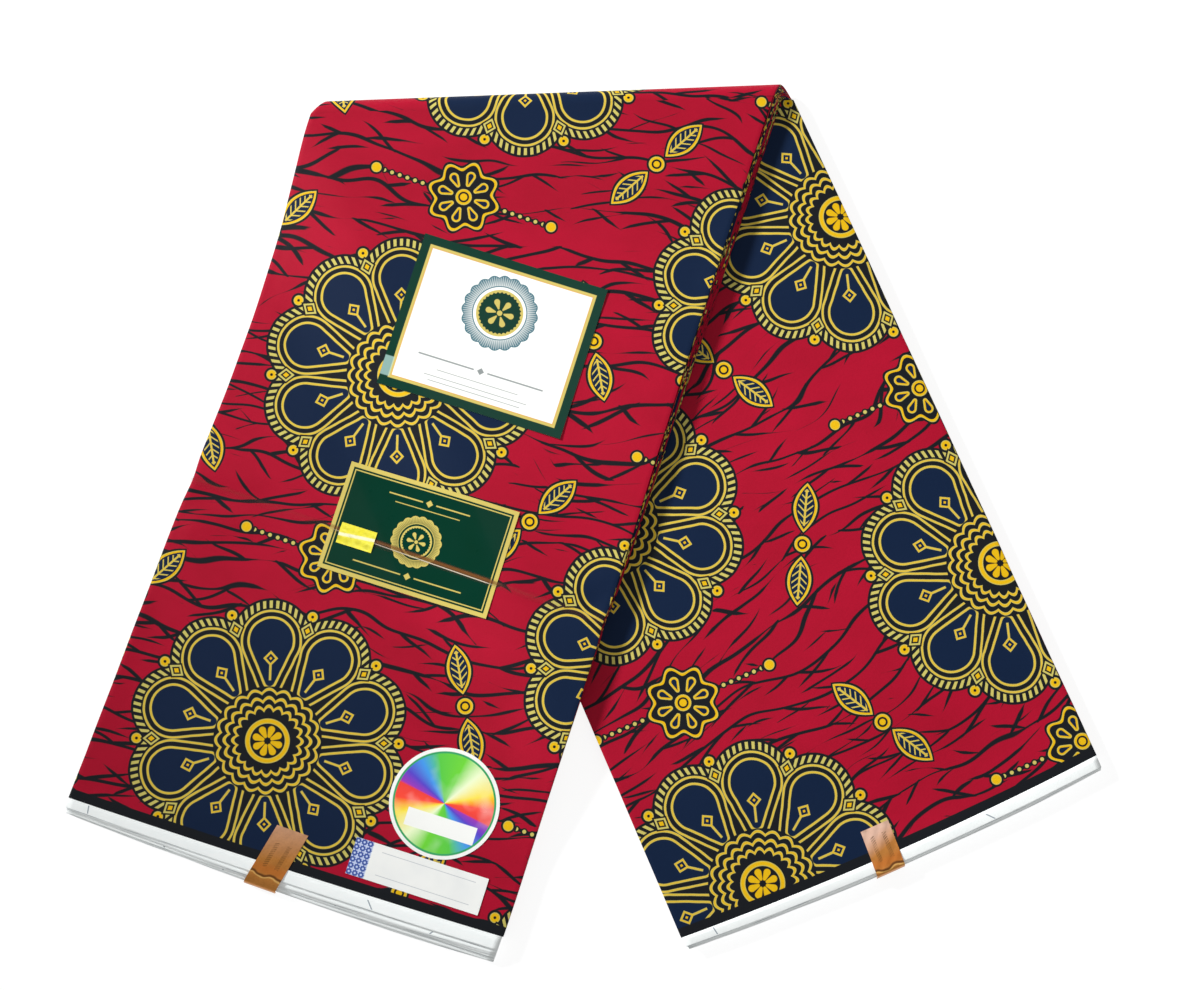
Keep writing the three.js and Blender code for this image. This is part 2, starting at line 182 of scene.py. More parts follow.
def pack_place(stretch, middle, share, inset, low):
    """Across and along of points of a row: share across, inset from the edge, low in the pack."""
    near = row_along(stretch, middle, between_edges(stretch, middle, share))
    if stretch == "front":
        inset = inset + STRAP_PINCH * np.exp(-(((near - STRAP_ALONG) / PINCH_REACH) ** 2))
    across = between_edges(stretch, near, share, inset) + fan_out(stretch, near, low)
    return across, row_along(stretch, middle, across)


# ---- Creases: across, along, heading (degrees from across), length, width, depth ----
CREASES = {
    "front": [
        (-118, 352, 4, 70, 9, -0.9), (-126, 335, 18, 60, 11, 0.7), (-120, 371, -14, 75, 12, 0.6),
        (138, 345, -2, 62, 8, -0.8), (140, 329, -22, 70, 12, 0.6), (136, 362, 20, 66, 13, 0.5),
        (-60, 62, -12, 190, 26, 0.7), (40, 92, 6, 220, 34, -0.7), (110, 30, -25, 120, 20, 0.6),
        (-105, 215, 72, 160, 24, 0.6), (112, 250, 80, 170, 22, -0.5), (-30, 285, 8, 150, 22, 0.4),
        (-95, 440, 64, 170, 26, 0.7), (-40, 470, 12, 210, 30, -0.6), (60, 425, -14, 170, 26, 0.5),
        (20, 540, 5, 230, 28, 0.5), (-110, 530, 84, 90, 18, -0.5), (145, 455, 86, 130, 15, 0.5),
    ],
    "back": [
        (120, 110, 28, 130, 22, 0.7), (96, 190, 70, 190, 28, -0.7), (130, 260, 84, 200, 22, 0.5),
        (30, 330, 14, 240, 32, 0.6), (-60, 420, -8, 200, 28, -0.6), (100, 430, 24, 150, 22, 0.5),
        (-20, 500, 6, 260, 30, 0.6), (-115, 480, 82, 150, 18, 0.5), (80, 545, -10, 160, 22, -0.5),
        (145, 520, 80, 110, 16, -0.5), (0, 240, -20, 190, 34, 0.5), (-40, 120, 8, 220, 34, 0.5),
    ],
}


def relief(stretch, across, along):
    """Height of the soft creases and of the broad unevenness of a stretch's top."""
    z = 0.22 * np.sin(across / 41 + along / 63 + 1) + 0.16 * np.sin(across / 23 - along / 37)
    for at_across, at_along, heading, length, width, depth in CREASES[stretch]:
        c, s = math.cos(math.radians(heading)), math.sin(math.radians(heading))
        du, dv = across - at_across, along - at_along
        run = (du * c + dv * s) / (length / 2)
        off = (-du * s + dv * c + 0.06 * length * np.sin(2.2 * run)) / width
        z = z + depth * np.exp(-off * off) * np.exp(-run**4)
    return z


def top_height(stretch, across, along):
    """Height of a stretch's top face."""
    x, y = plan(stretch, across, along)
    base = rise(x, y) if stretch == "front" else 0.0
    table = EDGES[stretch]
    left, right = smooth_table(table, LEFT, along), smooth_table(table, RIGHT, along)
    edge = np.minimum(across - left, right - across)
    calm = smoothstep(edge, 0, 14) * smoothstep(BEND_Y - y - HALF_FOLD, 2, 30)
    calm = calm * smoothstep(PRINT_LENGTH[stretch] - along, -2, 16)
    return base + THICKNESS + relief(stretch, across, along) * calm


# ---- Meshes ----

def write_mesh(name, points, faces, cloth, bake, material, crease=None):
    """A piece from points in mm, with the cloth's own coordinates (m) kept on its points."""
    mesh = bpy.data.meshes.new(name)
    mesh.from_pydata((points * MM).tolist(), [], faces)
    mesh.validate()
    layer = mesh.attributes.new("cloth", "FLOAT_VECTOR", "POINT")
    layer.data.foreach_set("vector", (cloth * MM).astype(np.float32).ravel())
    loops = np.empty(len(mesh.loops), dtype=np.int32)
    mesh.loops.foreach_get("vertex_index", loops)
    uv = mesh.uv_layers.new(name="OFBake")
    uv.data.foreach_set("uv", bake[loops].astype(np.float32).ravel())
    mesh.shade_smooth()
    if crease is not None:
        mesh.set_sharp_from_angle(angle=crease)
    mesh.materials.append(material)
    piece = bpy.data.objects.new(name, mesh)
    bpy.context.collection.objects.link(piece)
    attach(piece, "root")
    return piece


def grid_faces(rows, columns, start=0, wrap=False, turned=False):
    """Quads of a grid of points, row by row."""
    last = columns if wrap else columns - 1
    r, c = np.meshgrid(np.arange(rows - 1), np.arange(last), indexing="ij")
    nxt = (c + 1) % columns
    low, high = r * columns + start, (r + 1) * columns + start
    quads = np.stack([low + c, low + nxt, high + nxt, high + c], -1).reshape(-1, 4)
    return (quads[:, ::-1] if turned else quads).tolist()


def ring_faces(rows, columns, start, turned=False):
    """Quads of a grid of points whose last row meets the first."""
    c = np.arange(columns - 1)
    last = (rows - 1) * columns
    close = np.stack([last + c, last + c + 1, c + 1, c], -1) + start
    close = close[:, ::-1] if turned else close
    return grid_faces(rows, columns, start, turned=turned) + close.tolist()


def bake_grid(rows, columns, row_span=BAKE_SPAN, column_span=BAKE_SPAN):
    """Bake coordinates of a grid of points, in the given part of the square."""
    spread = np.meshgrid(np.linspace(*row_span, rows), np.linspace(*column_span, columns), indexing="ij")
    return np.stack(spread, -1).reshape(-1, 2)


def grid_piece(name, points, cloth, material, turned=False):
    """A piece from a grid of points (rows, columns, 3)."""
    rows, columns = points.shape[:2]
    return write_mesh(name, points.reshape(-1, 3), grid_faces(rows, columns, turned=turned),
                      cloth.reshape(-1, 3), bake_grid(rows, columns), material)


def two_sided(name, top, faces, cloth, bakes, thickness, material):
    """A thin closed sheet, from the points on top and the faces of both sides and the rim."""
    return write_mesh(name, np.concatenate([top, top - (0, 0, thickness)]), faces,
                      np.concatenate([cloth, cloth + (0, 0, BACK_MARK)]),
                      np.concatenate(bakes), material, crease=RIM_ANGLE)


def slab_piece(name, top, cloth, thickness, material):
    """A thin closed sheet under a grid of top points."""
    rows, columns = top.shape[:2]
    count = rows * columns
    index = np.arange(count).reshape(rows, columns)
    sides = [index[0], index[1:, -1], index[-1, -2::-1], index[-2:0:-1, 0]]
    rim = np.concatenate(sides).tolist()
    top, cloth = top.reshape(-1, 3), cloth.reshape(-1, 3)
    faces = grid_faces(rows, columns) + grid_faces(rows, columns, start=count, turned=True)
    faces += [[b, a, a + count, b + count] for a, b in zip(rim, rim[1:] + rim[:1])]
    face_bake = bake_grid(rows, columns, (0.01, 0.99), (0.01, 0.89))
    back_bake = face_bake * 0.09 + (0.0, 0.905)
    return two_sided(name, top, faces, cloth, (face_bake, back_bake), thickness, material)


# ---- The pattern of the print, as shader maths ----

def feed(node, inputs):
    """Sets or links inputs of a node, given by name or number."""
    for key, value in inputs.items():
        if isinstance(value, Field):
            value = value.socket
        if isinstance(value, bpy.types.NodeSocket):
            node.id_data.links.new(value, node.inputs[key])
        else:
            node.inputs[key].default_value = value


def new_node(tree, kind, inputs, **settings):
    node = tree.nodes.new("ShaderNode" + kind)
    for name, value in settings.items():
        setattr(node, name, value)
    feed(node, inputs)
    return node


class Field:
    """A value in a material's node tree, with arithmetic."""

    def __init__(self, socket):
        self.socket = socket

    def op(self, operation, *others, clamp=False):
        inputs = dict(enumerate((self, *others)))
        node = new_node(self.socket.id_data, "Math", inputs, operation=operation, use_clamp=clamp)
        return Field(node.outputs[0])

    __add__ = partialmethod(op, "ADD")
    __sub__ = partialmethod(op, "SUBTRACT")
    __mul__ = partialmethod(op, "MULTIPLY")
    __neg__ = partialmethod(op, "MULTIPLY", -1.0)
    __truediv__ = partialmethod(op, "DIVIDE")
    min = partialmethod(op, "MINIMUM")
    max = partialmethod(op, "MAXIMUM")
    abs = partialmethod(op, "ABSOLUTE")
    sin = partialmethod(op, "SINE")
    cos = partialmethod(op, "COSINE")
    fract = partialmethod(op, "FRACT")
    floor = partialmethod(op, "FLOOR")

    def wrapped(self, period):
        """Folded into -period/2..period/2."""
        return ((self / period + 0.5).fract() - 0.5) * period

    def fit(self, gain, base):
        """Times gain, plus base, held to 0..1."""
        return self.op("MULTIPLY_ADD", gain, base, clamp=True)

    def inside(self, soft=0.35):
        """1 where this distance is under 0, with an edge of that softness (mm)."""
        return self.fit(-1.0 / soft, 0.5)


def length(x, y):
    return (x * x + y * y).op("SQRT")


def band(distance, low, high):
    """Distance to the band between two distances."""
    return (distance - (low + high) / 2).abs() - (high - low) / 2


class Paint:
    """A colour built up in layers, each a 0xRRGGBB code, a linear colour or a socket."""

    def __init__(self, colour):
        self.colour = colour

    def over(self, colour, mask):
        below, above = (linear(c) if isinstance(c, int) else c for c in (self.colour, colour))
        mix = new_node(mask.socket.id_data, "Mix", {0: mask, 6: below, 7: above}, data_type="RGBA")
        self.colour = mix.outputs[2]

    def fill(self, colour, distance, soft=0.35):
        """Paints where a distance is under 0, with an edge of that softness (mm)."""
        self.over(colour, distance.inside(soft))

    def gold(self, distance):
        """Yellow with paler edges."""
        self.fill(YELLOW_PALE, distance)
        self.fill(YELLOW, distance + 0.42, 0.5)

    def outlined(self, distance, rim):
        """Yellow with a dark outline of that width."""
        self.fill(VEIN, distance - rim)
        self.gold(distance)


def linear(code):
    """Linear RGBA of a colour given as 0xRRGGBB."""
    parts = [(code >> shift & 255) / 255 for shift in (16, 8, 0)]
    return *(p / 12.92 if p <= 0.04045 else ((p + 0.055) / 1.055) ** 2.4 for p in parts), 1.0


RED = 0xAE082C
RED_DEEP = 0x940620
NAVY = 0x081D3A
VEIN = 0x14171C
YELLOW = 0xE2B40C
YELLOW_PALE = 0xC7BC64
SELVEDGE_WHITE = 0xF8FCFB


def parts_of(vector):
    """The three numbers of a vector."""
    return [Field(part) for part in new_node(vector.id_data, "SeparateXYZ", {0: vector}).outputs]


def noise(vector, size, detail=2.0, rough=0.5, offset=(0, 0, 0)):
    """Noise around 0 with features of that size (mm), about -0.5 to 0.5."""
    moved = new_node(vector.id_data, "VectorMath", {0: vector, 1: offset}, operation="ADD")
    node = new_node(vector.id_data, "TexNoise", {
        "Vector": moved.outputs[0], "Scale": 1000.0 / size, "Detail": detail, "Roughness": rough})
    return Field(node.outputs[0]) - 0.5


VEIN_HALF = 1.22  # of a vein's width
VEIN_PITCH = 25.5  # between the long lines
SWAY_STEP = 3.0  # over which the sway's slope is measured


def random_of(number):
    """A number from 0 to 1 that looks random, for each value of a field."""
    return (number.sin() * 437.585).fract()


def vein_distance(u, v, vector):
    """Distance to the dark veins: long wavy lines, branches that thin out, and strokes between."""

    def sway(du, dv):
        return noise(vector, 110, 1.0, 0.35, offset=(0.7 + du / 1000, 1.4 + dv / 1000, 0)) * 54

    here = sway(0.0, 0.0)
    lean = (sway(SWAY_STEP, 0.0) - here) / SWAY_STEP
    spread = (sway(0.0, SWAY_STEP) - here) / SWAY_STEP + 1.0

    def rows(pitch, slope, seed):
        """Place beside the nearest line of a family (in pitches), distance to it (mm), its random
        number and how much of it is drawn along its run."""
        wobble = noise(vector, 38, 0.0, offset=(seed, seed * 2, 0)) * 11
        place = (v + u * slope + here + wobble) / pitch
        row = place.floor()
        chance = random_of(row * 12.9898 + seed * 7)
        beside = place - row - 0.5 - (chance - 0.5) * 0.24
        apart = beside.abs() * pitch / length(lean + slope, spread).max(0.3)
        run = new_node(vector.id_data, "CombineXYZ", {0: u / 1000, 1: row * 0.731}).outputs[0]
        return beside, apart, chance, noise(run, 58, 1.0, offset=(seed, 0.3, 0))

    beside, long_lines, _, drawn = rows(VEIN_PITCH, 0.16, 0.7)
    veins = long_lines - ((drawn + 0.16) * 12).min(VEIN_HALF)
    for pitch, slope, seed in ((13.5, 0.56, 3.1), (17.0, -0.3, 5.3)):
        _, apart, chance, drawn = rows(pitch, slope, seed)
        # half of the branches leave to one side of the long line and half to the other
        out = beside * ((chance - 0.5) * 1000).max(-1.0).min(1.0)
        reach = (chance * 7.0).fract() * 0.14 + 0.38
        thin_out = ((reach - out) * (VEIN_PITCH * 0.3)).min((out + 0.05) * (VEIN_PITCH * 1.5))
        half = thin_out.min((drawn + 0.11) * 16)
        veins = veins.min(apart - half.min(VEIN_HALF))
    _, apart, _, drawn = rows(12.5, 0.22, 8.9)
    stroke = ((drawn - 0.02) * 13).min(VEIN_HALF * 0.9).min((long_lines - 4.0) * 0.5)
    return veins.min(apart - stroke)


def petal_distance(r, angle, count, near, far, small, large):
    """Distance to a ring of drop-shaped petals, and the place in a petal's own sector."""
    sector = 2 * math.pi / count
    turned = angle.wrapped(sector)
    x, y = r * turned.cos(), (r * turned.sin()).abs()
    run = x - near
    span = far - near
    b = (small - large) / span
    a = math.sqrt(1 - b * b)
    side = y * a + run * b - small
    low = length(run, y) - small
    high = length(run - span, y) - large
    along = run * a - y * b
    is_low = along.op("LESS_THAN", 0.0)
    is_high = along.op("GREATER_THAN", a * span)
    middle = side * (is_low.op("MULTIPLY_ADD", -1.0, 1.0) - is_high)
    return middle + low * is_low + high * is_high, x, y


PITCH_ACROSS, PITCH_ALONG = 244.0, 272.0
HALF_ACROSS, HALF_ALONG = PITCH_ACROSS / 2, PITCH_ALONG / 2
SPRIG_SLOPE = math.atan2(HALF_ALONG, PITCH_ACROSS)
LEAF_MIDDLE, LEAF_HALF, LEAF_WIDTH = 26.0, 17.5, 8.4
BEAD_STRING_END = 66.0
PETALS = 10
ROSETTE_SCALE = 1.15


def paint_sprigs(paint, x, y, wobble):
    """Two leaves and a bead, half way between neighbouring rosettes."""
    qx, qy = x.abs() - HALF_ACROSS, y.abs() - HALF_ALONG / 2
    n = qx * math.cos(SPRIG_SLOPE) + qy * math.sin(SPRIG_SLOPE)
    m = (qy * math.cos(SPRIG_SLOPE) - qx * math.sin(SPRIG_SLOPE)).abs()
    run = (m - LEAF_MIDDLE) / LEAF_HALF
    from_middle = (m - LEAF_MIDDLE).abs()
    leaf = n.abs() - (run * run).op("MULTIPLY_ADD", -LEAF_WIDTH, LEAF_WIDTH)
    leaf = leaf.max(from_middle - LEAF_HALF) + wobble * 0.5
    paint.outlined(leaf, 1.7)
    paint.fill(NAVY, leaf + 1.9)
    rib = (n.abs() - 0.7).max(from_middle - 13.0)
    barbs = ((m - n.abs() * 0.9).wrapped(4.6).abs() - 0.6).max(leaf + 3.0)
    paint.gold(rib.min(barbs))
    bead = length(n, m) - 5.6
    paint.outlined(bead, 1.6)
    paint.fill(VEIN, band(bead, -3.4, -2.0))


def paint_medallions(paint, x, y, wobble):
    """A small flower between the rosettes of one column, with a string of beads to each side."""
    y = y.abs() - HALF_ALONG
    line = (y.abs() - 0.7).max(band(x.abs(), 26.0, BEAD_STRING_END))
    paint.fill(VEIN, line - 0.6)
    beads = (length((x.abs() - 31.0).wrapped(5.8), y) - 1.35).max(band(x.abs(), 29.0, 60.0))
    paint.fill(VEIN, beads - 1.1)
    paint.fill(YELLOW_PALE, beads)
    paint.outlined(length(x.abs() - BEAD_STRING_END, y) - 3.6, 1.5)
    r = length(x, y)
    angle = y.op("ARCTAN2", x)
    star = r - (angle * 8.0).cos().op("MULTIPLY_ADD", 2.6, 23.5) + wobble * 0.4
    paint.outlined(star, 1.8)
    paint.fill(VEIN, star + 2.1)
    lobe, _, _ = petal_distance(r, angle, 8, 9.5, 15.8, 1.6, 3.4)
    paint.gold(lobe + wobble * 0.3)
    paint.fill(NAVY, lobe + 1.5)
    paint.gold(r - 5.8)
    paint.fill(VEIN, band(r, 2.6, 3.9))


def paint_rosettes(paint, x, y, wobble):
    """A big flower of ten petals with a ticked rim, beads between them and a scalloped heart."""
    r = length(x, y) / ROSETTE_SCALE
    angle = y.op("ARCTAN2", x)
    petal, px, py = petal_distance(r, angle, PETALS, 36.0, 61.0, 4.4, 14.6)
    petal = petal + wobble * 0.8
    rim = (petal - 9.6).min(r - 46.0)
    paint.fill(VEIN, rim - 1.5)
    ticks = (angle * 130.0).sin() * (r * 0.016) + 0.12
    paint.fill(YELLOW_PALE, rim.max(ticks))
    paint.fill(VEIN, (petal - 5.2).min(r - 67.0))
    paint.gold(band(petal, 2.7, 4.1))
    paint.fill(VEIN, petal)
    paint.gold(band(petal, -1.45, 0.0))
    paint.fill(NAVY, petal + 1.75)
    # stalk, ring and lozenge in each petal's root
    lozenge = (px - 50.0).abs() + py * 1.05 - 4.4
    stalk = (py - 0.7).max((px - 41.5).abs() - 4.8)
    paint.gold(stalk.min(band(lozenge, -1.5, 0.3)))
    paint.fill(YELLOW, lozenge + 3.4)
    # beads and lozenges where the petals' rims meet
    half = math.pi / PETALS
    between = (angle + half).wrapped(2 * half)
    cusp_x = r * between.cos()
    cusp_y = (r * between.sin()).abs()
    cusp = length(cusp_x - 79.5, cusp_y) - 3.1
    paint.outlined(cusp, 1.5)
    paint.fill(VEIN, cusp + 2.2)
    wedge = (cusp_x - 70.5).abs() * 0.8 + cusp_y - 4.2
    paint.fill(VEIN, wedge - 1.3)
    paint.fill(YELLOW_PALE, band(wedge, -1.4, 0.0))
    paint.fill(YELLOW, wedge + 2.6)
    # heart: scalloped rings round an eye
    scallop = r - (angle * PETALS).cos().abs() * 2.6
    paint.fill(VEIN, r - 33.0)
    paint.gold(band(scallop, 27.8, 29.6).min(band(scallop, 22.6, 24.6)).min(band(scallop, 17.4, 19.4)))
    paint.gold(band(r, 10.5, 13.5))
    inner, _, _ = petal_distance(r, angle, 8, 3.0, 7.2, 0.8, 1.9)
    paint.fill(YELLOW, inner - 0.2)


def print_colour(u, v, ends, vector):
    """The whole print: veined red ground, big flower rosettes, small medallions and leaf sprigs."""
    # half-drop lattice: every other column is moved by half a pitch
    column = (u / PITCH_ACROSS + 0.5).floor()
    x = u - column * PITCH_ACROSS
    y = (v + column * HALF_ALONG).wrapped(PITCH_ALONG)
    wobble = noise(vector, 14, 1.0) * 0.9
    paint = Paint(RED)
    paint.over(RED_DEEP, noise(vector, 60, 3.0, 0.6, (3, 1, 0)).fit(1.6, 0.45) * 0.7)
    paint.fill(VEIN, vein_distance(u, v, vector), 0.5)
    paint_sprigs(paint, x, y, wobble)
    paint_medallions(paint, x, y, wobble)
    paint_rosettes(paint, x, y, wobble)
    # dark line along the selvedge
    paint.fill(VEIN, ends - 6.8 + wobble * 0.3)
    return paint.colour


def principled(name):
    material = bpy.data.materials.new(name)
    material.use_nodes = True
    return material, material.node_tree.nodes["Principled BSDF"]


def cloth_material(name):
    """A material, its shader, and the cloth's own coordinates in mm and as a vector in m."""
    material, shader = principled(name)
    vector = new_node(material.node_tree, "Attribute", {}, attribute_name="cloth").outputs["Vector"]
    return material, shader, *(part * 1000.0 for part in parts_of(vector)), vector


def add_bump(shader, height, strength, distance):
    inputs = {"Strength": strength, "Distance": distance, "Height": height}
    bump = new_node(shader.id_data, "Bump", inputs)
    feed(shader, {"Normal": bump.outputs[0]})


def cotton_finish(shader, vector):
    """Weave and slight slubs in the surface of calendered cotton."""
    u, v = (part * (2 * math.pi / THREAD_PITCH) for part in parts_of(vector)[:2])
    weave = u.sin() * v.sin() * 0.5
    slub = noise(vector, 2.6, 3.0, 0.7) * 1.5
    add_bump(shader, weave + slub, 0.25, 0.0002)


def make_print():
    material, shader, *place, vector = cloth_material("wax_print")
    fibre = noise(vector, 1.1, 2.0, 0.6, (7, 7, 0)).op("MULTIPLY_ADD", 0.16, 1.0)
    shade = new_node(material.node_tree, "VectorMath",
                     {0: print_colour(*place, vector), "Scale": fibre}, operation="SCALE")
    feed(shader, {"Base Color": shade.outputs[0], "Roughness": 0.6, "Specular IOR Level": 0.11,
                  "Sheen Weight": 0.01, "Sheen Roughness": 0.4})
    cotton_finish(shader, vector)
    return material


def make_selvedge():
    material, shader, u, _, ends, vector = cloth_material("selvedge")
    paint = Paint(SELVEDGE_WHITE)
    paint.over(0xDDE4E6, noise(vector, 9).fit(0.5, 0.08))
    edge = (ends - 0.35).inside(0.3) * noise(vector, 35, 1.0, offset=(1, 5, 0)).fit(5.0, 0.1)
    paint.over(0x4A6070, edge * 0.7)
    # short strokes left by the printing, here and there and at all slopes
    spacing = 61.0
    chance = random_of((u / spacing + 0.5).floor() * 12.9898)
    lean = (chance * 9.0).fract() * 2.8 - 1.4
    beside = u.wrapped(spacing) - (chance - 0.5) * 38.0 - (ends - 3.0) * lean
    stroke = (beside.abs() / length(lean, 1.0) - 0.4).max(band(ends, 1.0, 6.5))
    here = (chance * 5.0).fract().op("GREATER_THAN", 0.45)
    paint.over(0x34506A, stroke.inside() * here * 0.8)
    # painted light: a faint emission makes the thin white plies glow, in place of the light that comes
    # through them from beside and below
    feed(shader, {"Base Color": paint.colour, "Roughness": 0.7, "Specular IOR Level": 0.3,
                  "Sheen Weight": 0.05, "Emission Color": linear(SELVEDGE_WHITE),
                  "Emission Strength": 0.07})
    cotton_finish(shader, vector)
    return material


# ---- Cloth pieces ----

PRINT_SHIFT = {"front": (34.0, 40.0), "back": (92.0, -30.0)}  # of the pattern on each top face
PLY_SHIFT = (17.0, 23.0)  # from each fold to the next one down
SELVEDGE_SHIFT = 13.7  # of the cloth across, from each white ply to the next one down
SELVEDGE_ROOT = 2.0  # of each lower white ply, inside the pack
SELVEDGE_INSET, LOWER_SELVEDGE_INSET = 0.3, 1.2  # of the white ply on top and of those below
SELVEDGE_DROOP = {"front": 0.35, "back": 0.9}  # at the tip of the white ply on top


def print_place(across, along, ends, stretch="front", folds=0):
    """The print's coordinates: across, along, and distance to the print's end."""
    du, dv = PRINT_SHIFT[stretch]
    return np.stack([across + du + PLY_SHIFT[0] * folds, along + dv + PLY_SHIFT[1] * folds,
                     np.broadcast_to(ends, across.shape)], -1)


def stand_height(stretch, x, y):
    """Height of a stretch's underside."""
    return rise(x, y) if stretch == "front" else 0.0 * x


def middles(stretch):
    count = int((PRINT_LENGTH[stretch] - FIRST_ROW) / CELL)
    return np.linspace(FIRST_ROW, PRINT_LENGTH[stretch], count + 1)[:, None]


def rolled_edge(tail=5.0):
    """Inset and drop down a sheet's folded edge, from its top to under it."""
    angle = np.linspace(math.pi / 2, -math.pi / 2, 5)
    inset = FOLD_RADIUS - FOLD_RADIUS * np.cos(angle)
    drop = FOLD_RADIUS - FOLD_RADIUS * np.sin(angle)
    return np.append(inset, tail), np.append(drop, 2 * FOLD_RADIUS)


def between_sides(side, middle):
    """A row of values: up the left side, over the middle and down the right side."""
    return np.concatenate([side, middle, side[::-1]])


def row_shares(side_count, columns):
    """Share across of the points of a row, with that many at each side."""
    face = np.linspace(0, 1, columns)[1:-1]
    return np.concatenate([np.zeros(side_count), face, np.ones(side_count)])


def top_sheet(stretch, material):
    """The ply on top of a stretch, folded under at both sides."""
    inset, drop = rolled_edge()
    share = row_shares(len(inset), TOP_COLUMNS)
    insets = between_sides(inset[::-1], np.full(TOP_COLUMNS - 2, FOLD_RADIUS))
    drops = between_sides(drop[::-1], np.zeros(TOP_COLUMNS - 2))
    middle = middles(stretch)
    fold = np.array([FOLDS - 1 if stretch == "front" else 0])
    run = (-middle * TURN[stretch]).T
    wander = sum(
        fold_wander(fold, side, run)[0][:, None] * np.clip(1 - np.abs(share - side) * 12, 0, 1)
        for side in (0, 1)
    )
    across, along = pack_place(stretch, middle, share[None, :], insets + wander, 0.0)
    x, y = plan(stretch, across, along)
    points = np.stack([x, y, top_height(stretch, across, along) - drops], -1)
    cloth = print_place(across, along, PRINT_LENGTH[stretch] - middle, stretch)
    return grid_piece(f"{stretch}_top_ply", points, cloth, material, turned=TURN[stretch] < 0)


def fold_profile():
    """Points down a side under the top fold: which fold, how far in, and low."""
    rows = []
    for k in range(1, FOLDS):
        for angle in np.radians([78, 30, -30, -78]):
            inset = FOLD_INSET + FOLD_RADIUS - FOLD_RADIUS * math.cos(angle)
            rows.append((k, inset, (k + 0.5 - 0.5 * math.sin(angle)) / FOLDS))
        rows.append((k, CLEFT_INSET, (k + 1) / FOLDS))
    return np.array(rows)


def lower_plies(stretch, material):
    """The folds under the ply on top, at both sides, and the lowest ply's flat underside."""
    k, inset, low = fold_profile()[:-1].T
    flat = np.ones(UNDER_COLUMNS - 2)
    share = row_shares(len(k), UNDER_COLUMNS)
    insets = between_sides(inset, FLAT_INSET * flat)
    lows = between_sides(low, flat)
    folds = between_sides(k, (FOLDS - 1) * flat).astype(int)
    depth_fold = FOLDS - 1 - folds if stretch == "front" else folds
    middle = middles(stretch)
    run = (middle * -TURN[stretch]).T
    wander = sum(fold_wander(depth_fold, side, run) * (share == side)[:, None] for side in (0, 1))
    across, along = pack_place(stretch, middle, share[None, :], insets + wander.T, lows[None, :])
    x, y = plan(stretch, across, along)
    z = stand_height(stretch, x, y) + THICKNESS * (1 - lows)
    if stretch == "front":
        z = z + STRAP_ROOM * np.exp(-(((along - STRAP_ALONG) / 5) ** 4)) * (lows > 0.99)
    else:
        # the lowest ply is the one that comes round the bend from the top of the front stretch
        across, along = outer_ply_place(x, BEND_Y - y + BEND_ARC - 2 * (HALF_FOLD + GAP))
        folds = FOLDS - 1 - folds
    cloth = print_place(across, along, PRINT_LENGTH[stretch] - middle, folds=folds)
    points = np.stack([x, y, z], -1)
    return grid_piece(f"{stretch}_lower_plies", points, cloth, material, turned=TURN[stretch] > 0)


def outer_ply_place(x, beyond):
    """Across and along of the ply that goes round the bend, laid out flat beyond the bend's line."""
    return (x - BEND_X) * COS - beyond * SIN, (BEND_X - x) * SIN - beyond * COS


def bend_plies(material):
    """The bend: the outer ply all round, and the folds of the plies under it at both ends."""
    k, inset, low = fold_profile()[::-1].T
    edge_inset, edge_drop = rolled_edge(tail=1.2)
    face = np.zeros(TOP_COLUMNS - 2)
    share = row_shares(len(k) + len(edge_inset), TOP_COLUMNS)
    insets = between_sides(np.append(inset, edge_inset[::-1]), face + FOLD_RADIUS)
    lows = between_sides(np.append(low, edge_drop[::-1] / THICKNESS), face)
    folds = between_sides(np.append(k, 0 * edge_inset), face).astype(int)
    wander = sum(fold_wander(FOLDS - 1 - folds, side, np.zeros((1, 1)))[:, 0] * (share == side)
                 for side in (0, 1))
    over_x, _ = plan("front", *pack_place("front", FIRST_ROW, share, insets + wander, lows))
    under_x, _ = plan("back", *pack_place("back", FIRST_ROW, share, insets + wander, 1 - lows))
    turn = np.linspace(0, 1, BEND_STEPS + 1) * math.pi
    angle = np.concatenate([[0], turn, [math.pi]])[:, None]
    back_off = np.concatenate([[GAP], 0 * turn, [GAP]])[:, None]
    ply_radius = GAP / 2 + (1 - lows)[None, :] * THICKNESS
    tuck = (BEND_TUCK_LEFT * (1 - share) - BEND_TUCK_RIGHT * share)[None, :] * np.sin(angle)
    x = over_x * (1 - angle / math.pi) + under_x * angle / math.pi + tuck
    y = BEND_Y - HALF_FOLD + ply_radius * np.sin(angle) - back_off
    z = HALF_FOLD + ply_radius * np.cos(angle)
    round_it = HALF_FOLD * angle + GAP - back_off * np.where(angle > 1, -1, 1)
    across, along = outer_ply_place(x, round_it - HALF_FOLD - GAP)
    cloth = print_place(across, along, FAR_FROM_END, folds=folds)
    return grid_piece("bend_plies", np.stack([x, y, z], -1), cloth, material, turned=True)


